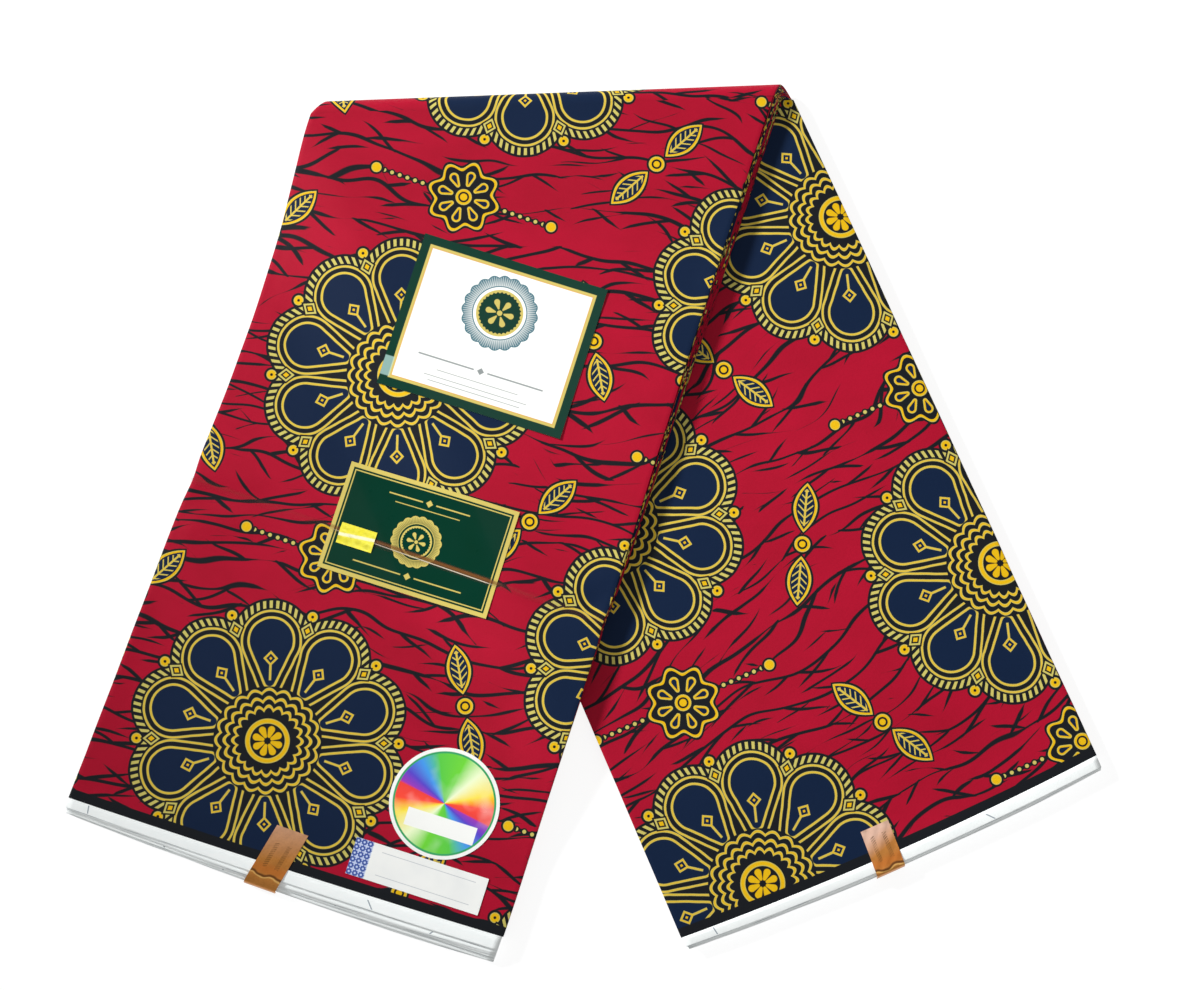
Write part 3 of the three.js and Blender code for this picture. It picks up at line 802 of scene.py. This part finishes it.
def selvedge_ply(stretch, ply, jitter):
    """Grids of points and cloth coordinates of one ply's white end, out on top and back below."""
    share = np.linspace(0, 1, SELVEDGE_COLUMNS)
    even = 2 * share - 1
    root = PRINT_LENGTH[stretch]
    low = (ply + 0.5) / PLIES
    leaves = LEAF_ENDS[stretch]
    reach, skew, bow = leaves[int(low * len(leaves) * 0.999)]
    tip = reach + skew * even + bow * (1 - even**2)
    inset, inside_pack = SELVEDGE_INSET, 0.0
    if ply:
        tip = tip + 0.55 * jitter[0] + 0.4 * np.sin(4 * share + 3 * jitter[1])
        tip = tip + 0.22 * np.sin(15 * share + 3 * jitter[2])
        inset, inside_pack = LOWER_SELVEDGE_INSET + 0.5 * jitter[3], SELVEDGE_ROOT
    across = between_edges(stretch, root, share, inset) + fan_out(stretch, root, low)
    out = np.array([0.0, 0.35, 0.7, 0.9, 1.0])[:, None]
    total = tip + inside_pack
    run = row_along(stretch, root, across) - inside_pack + out * total
    wave = 0.35 * jitter[4] * np.sin(7 * share + 3 * jitter[5])
    wave = wave + 0.15 * np.sin(19 * share + 9 * jitter[6])
    lift = wave * out**2 * (0.0 if low > 0.93 else 0.5)
    droop = SELVEDGE_DROOP[stretch] * out**2 * (1 - low)
    x, y = plan(stretch, across, run)
    z = stand_height(stretch, x, y) + THICKNESS * (1 - ply / PLIES) + lift - droop
    top = np.stack([x, y, z], -1)
    shifted = np.broadcast_to(across + SELVEDGE_SHIFT * ply, run.shape)
    cloth = np.stack([shifted, run, (1 - out) * total], -1)
    loop = np.concatenate([top, top[::-1] - (0, 0, PLY_THICKNESS)])
    return loop, np.concatenate([cloth, cloth[::-1]])


def selvedge_plies(stretch, material):
    """The white ends of all the plies, each reaching out to its own length."""
    points, faces, cloth, bake = [], [], [], []
    rng = np.random.default_rng(5)
    for ply in range(PLIES):
        loop, loop_cloth = selvedge_ply(stretch, ply, rng.uniform(-1, 1, 7))
        rows, columns = loop.shape[:2]
        count = ply * rows * columns
        points.append(loop.reshape(-1, 3))
        cloth.append(loop_cloth.reshape(-1, 3))
        bake.append(bake_grid(rows, columns, (ply / PLIES, (ply + 0.9) / PLIES))[:, ::-1])
        faces += ring_faces(rows, columns, count, turned=TURN[stretch] < 0)
        for column in (0, columns - 1):
            strip = [count + r * columns + column for r in range(rows)]
            for r in range(rows // 2 - 1):
                quad = [strip[r], strip[r + 1], strip[rows - 2 - r], strip[rows - 1 - r]]
                faces.append(quad if (column == 0) == (TURN[stretch] > 0) else quad[::-1])
    return write_mesh(f"{stretch}_selvedge_plies", np.concatenate(points), faces,
                      np.concatenate(cloth), np.concatenate(bake), material)


# ---- Labels, strap and foils: materials ----

PAPER_WHITE = 0xFAFBF7
PAPER_BACK = (0.8, 0.8, 0.78, 1)
CARD_GREEN = 0x003426
CARD_GOLD = 0xCDBB63
SEAL_TEAL = 0x3E6E7C
RULE_GREY = 0x6E777A


def frame_distance(u, v, width, length_):
    """Distance outwards from the edge of a rectangle, below 0 inside."""
    return (u.abs() - width / 2).max(v.abs() - length_ / 2)


def seal(paint, u, v, radius, teeth, edge_colour, ring_colour):
    """A plain scalloped seal: rayed rim, thin ring, serrated green heart with a small flower."""
    r = length(u, v)
    angle = v.op("ARCTAN2", u)
    rim = r - (angle * (teeth / 2)).sin().abs() * (0.06 * radius) - 0.93 * radius
    rays = (angle * (teeth * 5.0)).sin() * 0.5 + 0.5
    fade = (r - 0.72 * radius).op("MULTIPLY", 1 / (0.26 * radius), clamp=True)
    paint.over(edge_colour, rim.inside(0.5) * (rays * 0.45 + 0.25 + fade * 0.45).min(1.0))
    paint.fill(edge_colour, band(rim, -0.7, 0.0))
    paint.fill(ring_colour, r - 0.72 * radius)
    paint.fill(edge_colour, band(r, 0.685 * radius, 0.715 * radius), 0.3)
    paint.fill(CARD_GOLD, band(r, 0.5 * radius, 0.61 * radius))
    saw = (angle * 16.0).sin().abs() * (0.035 * radius)
    paint.fill(CARD_GREEN, r + saw - 0.56 * radius, 0.3)
    petals = (share * radius for share in (0.12, 0.3, 0.02, 0.075))
    flower, _, _ = petal_distance(r, angle, 6, *petals)
    paint.fill(CARD_GOLD, flower, 0.3)
    paint.fill(CARD_GOLD, r - 0.07 * radius, 0.3)


def divider(u, v, at_v, half, thick):
    """Distance to a plain ornamental rule with a lozenge in its middle."""
    rule = ((v - at_v).abs() - thick / 2).max(band(u.abs(), 5.0, half))
    lozenge = u.abs() + (v - at_v).abs() - 2.6
    return rule.min(lozenge)


def paper_finish(shader, vector, paint, z, roughness, specular=0.16, coat=0.0, coat_rough=0.03):
    """Base colour with a plain back, and the faint unevenness of paper or foil."""
    face = Paint(PAPER_BACK)
    face.over(paint.colour, z.op("LESS_THAN", BACK_MARK / 2))
    smudge = noise(vector, 18, 3.0).op("MULTIPLY_ADD", 0.18, roughness)
    feed(shader, {"Base Color": face.colour, "Roughness": smudge, "Specular IOR Level": specular,
                  "Coat Weight": coat, "Coat Roughness": coat_rough})
    grain = noise(vector, 0.9, 3.0, 0.7) + noise(vector, 24, 2.0) * 6.0
    add_bump(shader, grain, 0.15, 0.0004)


def make_paper(name, ground, mottle, size, draw, roughness, **finish):
    """Paper with soft mottling of that size (mm), and what draw paints on it."""
    material, shader, u, v, z, vector = cloth_material(name)
    paint = Paint(ground)
    paint.over(mottle, noise(vector, size).fit(1.0, 0.3))
    draw(paint, u, v)
    paper_finish(shader, vector, paint, z, roughness, **finish)
    return material


def draw_white_card(paint, u, v):
    """A seal over plain rules, in a frame of green and gold."""
    seal(paint, u, v + 17.0, 27.5, 20, SEAL_TEAL, PAPER_WHITE)
    rules = divider(u, v, 27.0, 46.0, 1.1)
    for at_v, half in ((35.0, 30.0), (40.0, 38.0), (43.5, 34.0)):
        rules = rules.min(((v - at_v).abs() - 0.25).max(u.abs() - half))
    paint.over(RULE_GREY, rules.inside(0.4) * 0.85)
    inner = -frame_distance(u, v, WHITE_CARD["width"], WHITE_CARD["length"])
    for colour, depth in ((0xD9A85A, 8.6), (CARD_GOLD, 7.9), (CARD_GREEN, 6.2)):
        paint.fill(colour, inner - depth, 0.3)
    paint.over(0xA8CFC8, frame_distance(u + 64.5, v - 42.0, 7.0, 14.0).inside(0.6) * 0.6)


def draw_green_card(paint, u, v):
    """A gold seal and rules, in a double gold frame."""
    seal(paint, u + 1.1, v - 2.1, 18.5, 18, CARD_GOLD, CARD_GREEN)
    rules = divider(u, v, -26.0, 30.0, 0.9).min(divider(u, v, 27.0, 40.0, 0.9))
    rules = rules.min(((v + 21.0).abs() - 0.3).max(u.abs() - 24.0))
    paint.fill(CARD_GOLD, rules, 0.4)
    inner = -frame_distance(u, v, GREEN_CARD["width"], GREEN_CARD["length"])
    paint.fill(CARD_GOLD, band(inner, 4.3, 5.1), 0.3)
    paint.fill(CARD_GOLD, inner - 3.0, 0.3)


def make_rainbow():
    material, shader, u, v, z, vector = cloth_material("rainbow_foil")
    turn = ((-v).op("ARCTAN2", u) + math.radians(30) - SPLAY) / math.pi
    ramp = new_node(material.node_tree, "ValToRGB", {0: turn.fract()})
    stops = [(0.0, 0xF0281E), (0.10, 0xFF3A14), (0.2, 0xFFE400), (0.36, 0xF2FFD0), (0.5, 0x66D61A),
             (0.68, 0x4CCB30), (0.8, 0x2E96EC), (0.91, 0x4A2CC8), (0.985, 0x9618B8), (1.0, 0xF0281E)]
    elements = ramp.color_ramp.elements
    for i, (place, code) in enumerate(stops):
        stop = elements[i] if i < 2 else elements.new(place)
        stop.position = place
        stop.color = linear(code)
    paint = Paint(ramp.outputs[0])
    paint.over((1, 1, 0.95, 1), (noise(vector, 20, 2.0) * 2.0).op("ADD", 0.0, clamp=True) * 0.5)
    paint.fill(PAPER_WHITE, frame_distance(u - 2.2, v - 15.6, 50.0, 12.5), 0.3)
    inner = -length(u, v)
    paint.fill(0x14A05A, inner + 34.6, 0.4)
    paint.fill(PAPER_WHITE, inner + 36.0, 0.4)
    paper_finish(shader, vector, paint, z, 0.24, specular=0.4, coat=0.4, coat_rough=0.1)
    feed(shader, {"Metallic": 0.15})
    return material


def draw_sticker(paint, u, v):
    """A small damask at the left end, and two thin rules."""
    tile = 4.4
    tile_u, tile_v = u.wrapped(tile), v.wrapped(tile)
    clover = length(tile_u, tile_v) - (tile_v.op("ARCTAN2", tile_u) * 4.0).cos() * 0.55 - 1.35
    dots = length((u + tile / 2).wrapped(tile), (v + tile / 2).wrapped(tile)) - 0.75
    damask = Paint(0x3D58A6)
    damask.fill(0xC9D4F0, clover.min(dots), 0.3)
    paint.fill(damask.colour, u + STICKER["width"] / 2 - 13.0, 0.3)
    line = ((u - 6.0).abs() - 34.0).max((v.abs() - 8.0).abs() - 0.2)
    paint.fill(0xB9BEC4, line, 0.3)


def make_foil(name, colour, deep, metal, roughness, crinkle, paint_more):
    """Crinkled foil, with what that function paints on it."""
    material, shader, u, v, z, vector = cloth_material(name)
    paint = Paint(colour)
    paint.over(deep, noise(vector, 22).fit(1.6, 0.4))
    paint.over(deep, noise(vector, 1.6, 1.0, 0.5, (2, 5, 0)).fit(1.5, 0.1))
    paint_more(paint, u, v, z, vector)
    rough = noise(vector, 3, 2.0).op("MULTIPLY_ADD", 0.16, roughness)
    feed(shader, {"Base Color": paint.colour, "Roughness": rough, "Metallic": metal})
    height = noise(vector, 9, 2.0, 0.4) * crinkle + noise(vector, 0.7, 2.0) * 0.2
    add_bump(shader, height, 0.5, 0.0005)
    return material


def paint_clasp_highlight(paint, u, v, *_):
    """A painted highlight: a bright streak where the strap lifts the foil."""
    # painted highlight on the clasp foil
    paint.over(0xFFFDE8, band(v + u * 0.1, -1.3, 0.9).inside(0.9) * 0.75)


def paint_tab(paint, u, v, z, vector):
    """Pale rose at the stuck end, painted shade and a painted gold highlight at the bend over the edge,
    fine plain hatching.
    """
    rose = ((v + u * 0.3 + 14.0) * -0.08).op("MULTIPLY", z.min(1.0), clamp=True)
    paint.over(0xE8C0AC, rose * 0.9)
    paint.over(0xC86E22, band(v, -9.0, -2.0).inside(4.0) * 0.6)
    bent = v + (u * 0.38).sin() * 0.7 + noise(vector, 9, 1.0, 0.5, (4, 2, 0)) * 4.0
    # painted shade: a dark wavy band where the foil turns down over the edge
    paint.over(0x452404, band(bent, -2.3, -0.7).inside(0.9) * 0.8)
    # painted highlight: a gold line along the turn
    paint.over(0xFFD27A, band(bent, -0.6, 0.3).inside(0.6) * 0.6)
    rules = band(u.abs(), 2.9, 5.9).max(band(v, -25.0, -7.0))
    hatch = ((v + u * 0.45).wrapped(1.55).abs() - 0.36).max(rules)
    worn = noise(vector, 4, 1.0, 0.5, (6, 1, 0)).fit(1.6, 0.62)
    paint.over(0x5A3A14, hatch.inside(0.3) * worn)


def make_film():
    """Clear film with a bronze tint that is partly painted reflection, strongest over the green card,
    and a painted highlight line along it.
    """
    material, shader, u, v, _, _ = cloth_material("clear_film")
    wander = (u / 60.0).sin() * 0.5
    on_card = band(u, 104.0, 228.0).inside(14.0)
    # strength of the painted reflection and highlight along the strap, strongest over the dark card
    drawn = ((u / 31.0 + 1.0).sin() * 0.25 + 0.75) * (on_card * 0.86 + 0.14)
    # bronze tint of the film, partly painted reflection
    bronze_and_reflection = band(v + wander, -1.9, 0.4).inside(1.4) * drawn * 0.55
    # painted highlight: a bright line along the film
    painted_highlight = ((v + wander - 1.0).abs() - 0.3).inside(0.5) * drawn * on_card * 0.8
    paint = Paint(0x8A4438)
    paint.over(0x9A6230, bronze_and_reflection.op("MULTIPLY", 2.4, clamp=True))
    paint.over(0xFFF3DC, painted_highlight.op("MULTIPLY", 2.0, clamp=True))
    feed(shader, {"Base Color": paint.colour, "Alpha": bronze_and_reflection.max(painted_highlight).max(0.03),
                  "Metallic": 0.3, "Roughness": 0.22})
    return material


# ---- Labels, strap and foils: pieces ----

WHITE_CARD = {"across": 19, "along": 184, "width": 136, "length": 112}
GREEN_CARD = {"across": 18, "along": 337, "width": 125, "length": 78}
CLASP = {"across": -24, "along": 349.7, "width": 26, "length": 15}
DISC = {"across": 97, "along": 504, "radius": 38.5}
STICKER = {"across": 96, "along": 557, "width": 96, "length": 26}
TABS = {
    "front": {"across": 4, "along": 556, "width": 23, "slant": -0.2},
    "back": {"across": -5, "along": 569, "width": 21, "slant": -0.06},
}
TAB_TONE = {"front": 0.25, "back": 1.0}  # how pale the stuck end is
TAB_TURN, TAB_DROP = 4.3, 9.4  # how far down a tab has turned, and ends
TAB_GAP, TAB_FAR_GAP = 0.6, 1.1  # off the end of the ply on top and off the longest one
CARD_LIFT, CARD_THICK = 0.12, 0.4
CARD_TOP = CARD_LIFT + CARD_THICK
FOIL_LIFT = 0.45  # of the clasp and the tabs, off what is under them
DISC_THICK = CLASP_THICK = 0.3
TAB_THICK = 0.25
STRAP_THICK = 0.16
STRAP_TUCK = 1.2  # from each side to where the strap turns down
STRAP_BULGE = 1.1  # round each side
STRAP_LIFT, STRAP_UNDER_LIFT = 0.18, 0.12  # off the cloth's top and its underside
STRAP_SECTION = ((-3.0, 0.0), (-1.5, 0.22), (0.0, 0.3), (1.5, 0.22), (3.0, 0.0))  # along, up


def on_label(label, u, v):
    """Across and along of a place on a label, from its middle."""
    return label["across"] + u - v * LABEL_TILT, label["along"] + v + u * LABEL_TILT


def label_grid(label, columns, rows):
    """A grid of places on a label, from its middle."""
    return np.meshgrid(np.linspace(-0.5, 0.5, columns) * label["width"],
                       np.linspace(-0.5, 0.5, rows) * label["length"])


def label_cloth(u, v, tone=0.0):
    """Cloth coordinates of places on a label's face."""
    return np.stack([u, v, tone + 0 * u], -1)


def surface_points(stretch, across, along, lift):
    """Points that far over a stretch's top face."""
    x, y = plan(stretch, across, along)
    return np.stack([x, y, top_height(stretch, across, along) + lift], -1)


def card_piece(name, label, curl, material):
    """A card or sticker on the front stretch, with its corners standing off a little."""
    width, length_ = label["width"], label["length"]
    u, v = label_grid(label, round(width / CELL) + 1, round(length_ / CELL) + 1)
    corner = np.abs(2 * u / width) ** 3 * np.abs(2 * v / length_) ** 3
    top = surface_points("front", *on_label(label, u, v), CARD_TOP + curl * corner)
    return slab_piece(name, top, label_cloth(u, v), CARD_THICK, material)


def disc_piece(name, label, material):
    """A thin round sticker."""
    rings, segments, radius = 12, 96, label["radius"]
    radii = np.linspace(0, 1, rings + 1)[1:] * radius
    turn = np.arange(segments) * 2 * math.pi / segments
    u = np.append(0.0, np.outer(radii, np.cos(turn)))
    v = np.append(0.0, np.outer(radii, np.sin(turn)))
    top = surface_points("front", *on_label(label, u, v), CARD_LIFT + DISC_THICK)
    count = len(u)
    faces = []
    for start in (0, count):
        side = [(start, start + 1 + k, start + 1 + (k + 1) % segments) for k in range(segments)]
        side += grid_faces(rings, segments, start=start + 1, wrap=True, turned=True)
        faces += side if start else [face[::-1] for face in side]
    rim = list(range(count - segments, count))
    faces += [(a, b, b + count, a + count) for a, b in zip(rim, rim[1:] + rim[:1])]
    place = np.stack([u, v], -1) / radius
    bakes = 0.44 * place + (0.45, 0.5), 0.04 * place + (0.95, 0.05)
    return two_sided(name, top, faces, label_cloth(u, v), bakes, DISC_THICK, material)


def strap_loop(along, up):
    """Points once round the front stretch: over it, down the right side, back under it and up."""
    left = smooth_table(EDGES["front"], LEFT, STRAP_ALONG)
    right = smooth_table(EDGES["front"], RIGHT, STRAP_ALONG)
    run = np.linspace(left + STRAP_TUCK, right - STRAP_TUCK, 110)
    # up on the green card and down again, over the slopes beside it
    on_card = smoothstep(run, -58, -45) * (1 - smoothstep(run, 80, 92))
    loop = [surface_points("front", run, along, STRAP_LIFT + on_card * CARD_TOP + up)]
    fall = np.radians(np.linspace(80, -80, 9))
    bulge = STRAP_BULGE * np.cos(fall) - STRAP_TUCK / 2
    height = THICKNESS / 2 + (THICKNESS / 2 - 0.2) * np.sin(fall)
    for across, above in (
        (right + bulge, height),
        (np.linspace(right - STRAP_TUCK, left + STRAP_TUCK, 60), STRAP_UNDER_LIFT),
        ((left - bulge)[::-1], height[::-1]),
    ):
        x, y = plan("front", across, along)
        loop.append(np.stack([x, y, rise(x, y) + above], -1))
    return np.concatenate(loop)


def strap_piece(material):
    """The clear film band round the front stretch, across the green card."""
    outer = np.stack([strap_loop(STRAP_ALONG + along, up) for along, up in STRAP_SECTION], 1)
    middle = outer.mean(axis=1, keepdims=True)
    tangent = np.roll(middle, -1, axis=0) - np.roll(middle, 1, axis=0)
    normal = np.cross(tangent, outer[:, -1:] - outer[:, :1])
    normal /= np.linalg.norm(normal, axis=-1, keepdims=True)
    outwards = middle - middle.mean(axis=0, keepdims=True)
    facing = np.sign((normal * outwards).sum(-1, keepdims=True))
    ring = np.concatenate([outer, (outer - normal * facing * STRAP_THICK)[:, ::-1]], axis=1)
    step = np.linalg.norm(np.diff(middle[:, 0], axis=0, append=middle[:1, 0]), axis=-1)
    distance = np.append(0, np.cumsum(step))
    across_film = [along for along, _ in STRAP_SECTION]
    u, v = np.meshgrid(distance, across_film + across_film[::-1], indexing="ij")
    bake_v = np.append(np.linspace(0.02, 0.48, 5), np.linspace(0.52, 0.98, 5))
    bake = np.stack(np.meshgrid(distance / distance[-1], bake_v, indexing="ij"), -1)
    closed = np.concatenate([ring, ring[:1]])
    rows, columns = u.shape
    return write_mesh("film_strap_band", closed.reshape(-1, 3),
                      grid_faces(rows, columns, wrap=True, turned=True),
                      label_cloth(u, v).reshape(-1, 3), bake.reshape(-1, 2), material)


def clasp_piece(material):
    """The folded foil clasp, pressed over the strap."""
    u, v = label_grid(CLASP, 27, 17)
    strap = 0.75 * np.exp(-((v / 4.2) ** 4))
    crumple = 0.12 * np.sin(u * 0.9 + v * 0.4) + 0.1 * np.sin(v * 1.1 - u * 0.35 + 1)
    lift = CARD_TOP + FOIL_LIFT + strap + crumple
    top = surface_points("front", *on_label(CLASP, u, v), lift)
    return slab_piece("strap_clasp_foil", top, label_cloth(u, v), CLASP_THICK, material)


def tab_piece(stretch, material):
    """A foil tab from the print, over the white edge and down the end of the pack."""
    tab = TABS[stretch]
    reaches = [reach + bow for reach, _, bow in LEAF_ENDS[stretch]]
    edge = PRINT_LENGTH[stretch] + reaches[0] + TAB_GAP
    furthest = PRINT_LENGTH[stretch] + max(reaches) + TAB_FAR_GAP
    flat = np.linspace(tab["along"], edge, 15)
    bend = np.linspace(0, 1, 8)[1:] * math.pi
    out = edge + (furthest - edge) * np.sin(bend / 2)
    along = np.concatenate([flat, out, furthest + 0.7 * np.sin(bend)])
    down = np.linspace(TAB_TURN, TAB_DROP, 8)[1:]
    drop = np.concatenate([0 * flat, TAB_TURN * (1 - np.cos(bend / 2)), down])[:, None]
    a, u = np.meshgrid(along, np.linspace(-0.5, 0.5, 16) * tab["width"], indexing="ij")
    across = tab["across"] + u + (a - tab["along"]) * tab["slant"]
    x, y = plan(stretch, across, a)
    over_edge = stand_height(stretch, x, y) + THICKNESS - drop
    height = np.where(drop > 0, over_edge, top_height(stretch, across, a))
    bulge = 0.25 * np.cos(u / tab["width"] * math.pi) * (1 + drop / 4)
    crumple = 0.12 * np.sin(u * 0.8 + a * 0.5) + 0.08 * np.sin(a * 1.3 - u * 0.4)
    z = height + FOIL_LIFT + bulge * 0.5 + crumple * (drop < 0.1)
    cloth = label_cloth(u, a - edge + drop, TAB_TONE[stretch])
    return slab_piece(f"{stretch}_foil_strip", np.stack([x, y, z], -1), cloth, TAB_THICK, material)


def stand_for(piece, node):
    """Puts a piece in the place of a CAD node, whose part it hides."""
    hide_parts(node)
    return piece


print_material = make_print()
selvedge_material = make_selvedge()
for stretch_name in ("front", "back"):
    stretch_node = f"{stretch_name}_stretch"
    sheet = stand_for(top_sheet(stretch_name, print_material), stretch_node)
    lower = stand_for(lower_plies(stretch_name, print_material), stretch_node)
    plies = stand_for(selvedge_plies(stretch_name, selvedge_material), f"{stretch_name}_selvedge")
bend = stand_for(bend_plies(print_material), "bend")

copper = make_foil("copper_foil", 0xD08A40, 0xB0702C, 0.6, 0.34, 0.5, paint_tab)
yellow = make_foil("yellow_foil", 0xFBF65A, 0xEFDF1E, 0.2, 0.2, 1.4, paint_clasp_highlight)
white_paper = make_paper("white_card", PAPER_WHITE, 0xECEFEA, 30, draw_white_card, 0.32,
                         coat=0.08, coat_rough=0.15)
green_paper = make_paper("green_card", CARD_GREEN, 0x03301F, 26, draw_green_card, 0.3,
                         specular=0.06, coat=0.06, coat_rough=0.12)
sticker_paper = make_paper("white_sticker", PAPER_WHITE, 0xE9ECEC, 20, draw_sticker, 0.38)
stand_for(card_piece("white_card", WHITE_CARD, 0.7, white_paper), "white_label")
stand_for(card_piece("green_card", GREEN_CARD, 0.5, green_paper), "green_label")
stand_for(strap_piece(make_film()), "film_strap")
stand_for(clasp_piece(yellow), "strap_clasp")
stand_for(disc_piece("rainbow_disc", DISC, make_rainbow()), "round_label")
stand_for(card_piece("long_sticker_card", STICKER, 0.3, sticker_paper), "long_sticker")
for stretch_name in ("front", "back"):
    stand_for(tab_piece(stretch_name, copper), f"{stretch_name}_foil_tab")

# ---- Floor, light and camera ----
PHOTO_WIDTH = 1199  # in pixels
MM_PER_PIXEL = 0.711
SENSOR_WIDTH = 36.0
CAMERA_ELEVATION, CAMERA_AZIMUTH = math.radians(83), math.radians(-2.2)
CAMERA_DISTANCE = 1.6
CAMERA_CLIP = 0.05, 20
CAMERA_TARGET = Vector((18.85 * MM, 15.65 * MM, 0))
FLOOR_HALF = 60.0  # so far that a low view doesn't show its edge
FLOOR_DROP = 0.0002  # under the cloth
WHITE = (1, 1, 1, 1)


def place_facing(item, place, forward):
    """Puts a camera or light in the scene, turned to look forward."""
    bpy.context.collection.objects.link(item)
    item.location = place
    item.rotation_mode = "QUATERNION"
    item.rotation_quaternion = forward.to_track_quat("-Z", "Y")


def add_camera():
    data = bpy.data.cameras.new("camera")
    data.sensor_width = SENSOR_WIDTH
    data.lens = CAMERA_DISTANCE / (MM_PER_PIXEL * MM) / PHOTO_WIDTH * SENSOR_WIDTH
    data.clip_start, data.clip_end = CAMERA_CLIP
    camera = bpy.data.objects.new("camera", data)
    level = Vector((math.sin(CAMERA_AZIMUTH), -math.cos(CAMERA_AZIMUTH), 0)) * math.cos(CAMERA_ELEVATION)
    back = level + Vector((0, 0, math.sin(CAMERA_ELEVATION)))
    place_facing(camera, CAMERA_TARGET + back * CAMERA_DISTANCE, -back)
    bpy.context.scene.camera = camera


def add_floor():
    """A white ground that still takes the pack's soft shadow."""
    mesh = bpy.data.meshes.new("floor")
    corners = [(-1, -1, 0), (1, -1, 0), (1, 1, 0), (-1, 1, 0)]
    mesh.from_pydata([Vector(corner) * FLOOR_HALF for corner in corners], [], [(0, 1, 2, 3)])
    floor = bpy.data.objects.new("floor", mesh)
    bpy.context.collection.objects.link(floor)
    floor.location.z = -FLOOR_DROP
    material, shader = principled("floor")
    feed(shader, {"Base Color": (0.25, 0.25, 0.25, 1), "Roughness": 0.9, "Specular IOR Level": 0.0,
                  "Emission Color": WHITE, "Emission Strength": 0.86})
    mesh.materials.append(material)


def add_light(name, kind, place, power, target=(0, 0, 0), **settings):
    data = bpy.data.lights.new(name, kind)
    data.energy = power
    for setting, value in settings.items():
        setattr(data, setting, value)
    place_facing(bpy.data.objects.new(name, data), place, Vector(target) - Vector(place))


def add_lights():
    """A soft beam from the upper left that is brightest near the bend, and a weak wide fill."""
    world = bpy.data.worlds.new("world")
    world.use_nodes = True
    feed(world.node_tree.nodes["Background"], {"Color": WHITE, "Strength": 0.32})
    bpy.context.scene.world = world
    add_light("key", "SPOT", (-3.2, 2.2, 2.25), 1370, (0.25, -0.02, 0), shadow_soft_size=0.36,
              spot_size=math.radians(18.5), spot_blend=1.0)
    add_light("fill", "AREA", (0.2, 0.1, 1.9), 4.5, size=1.2)
    bpy.context.scene.view_settings.view_transform = "Standard"


add_camera()
add_floor()
add_lights()
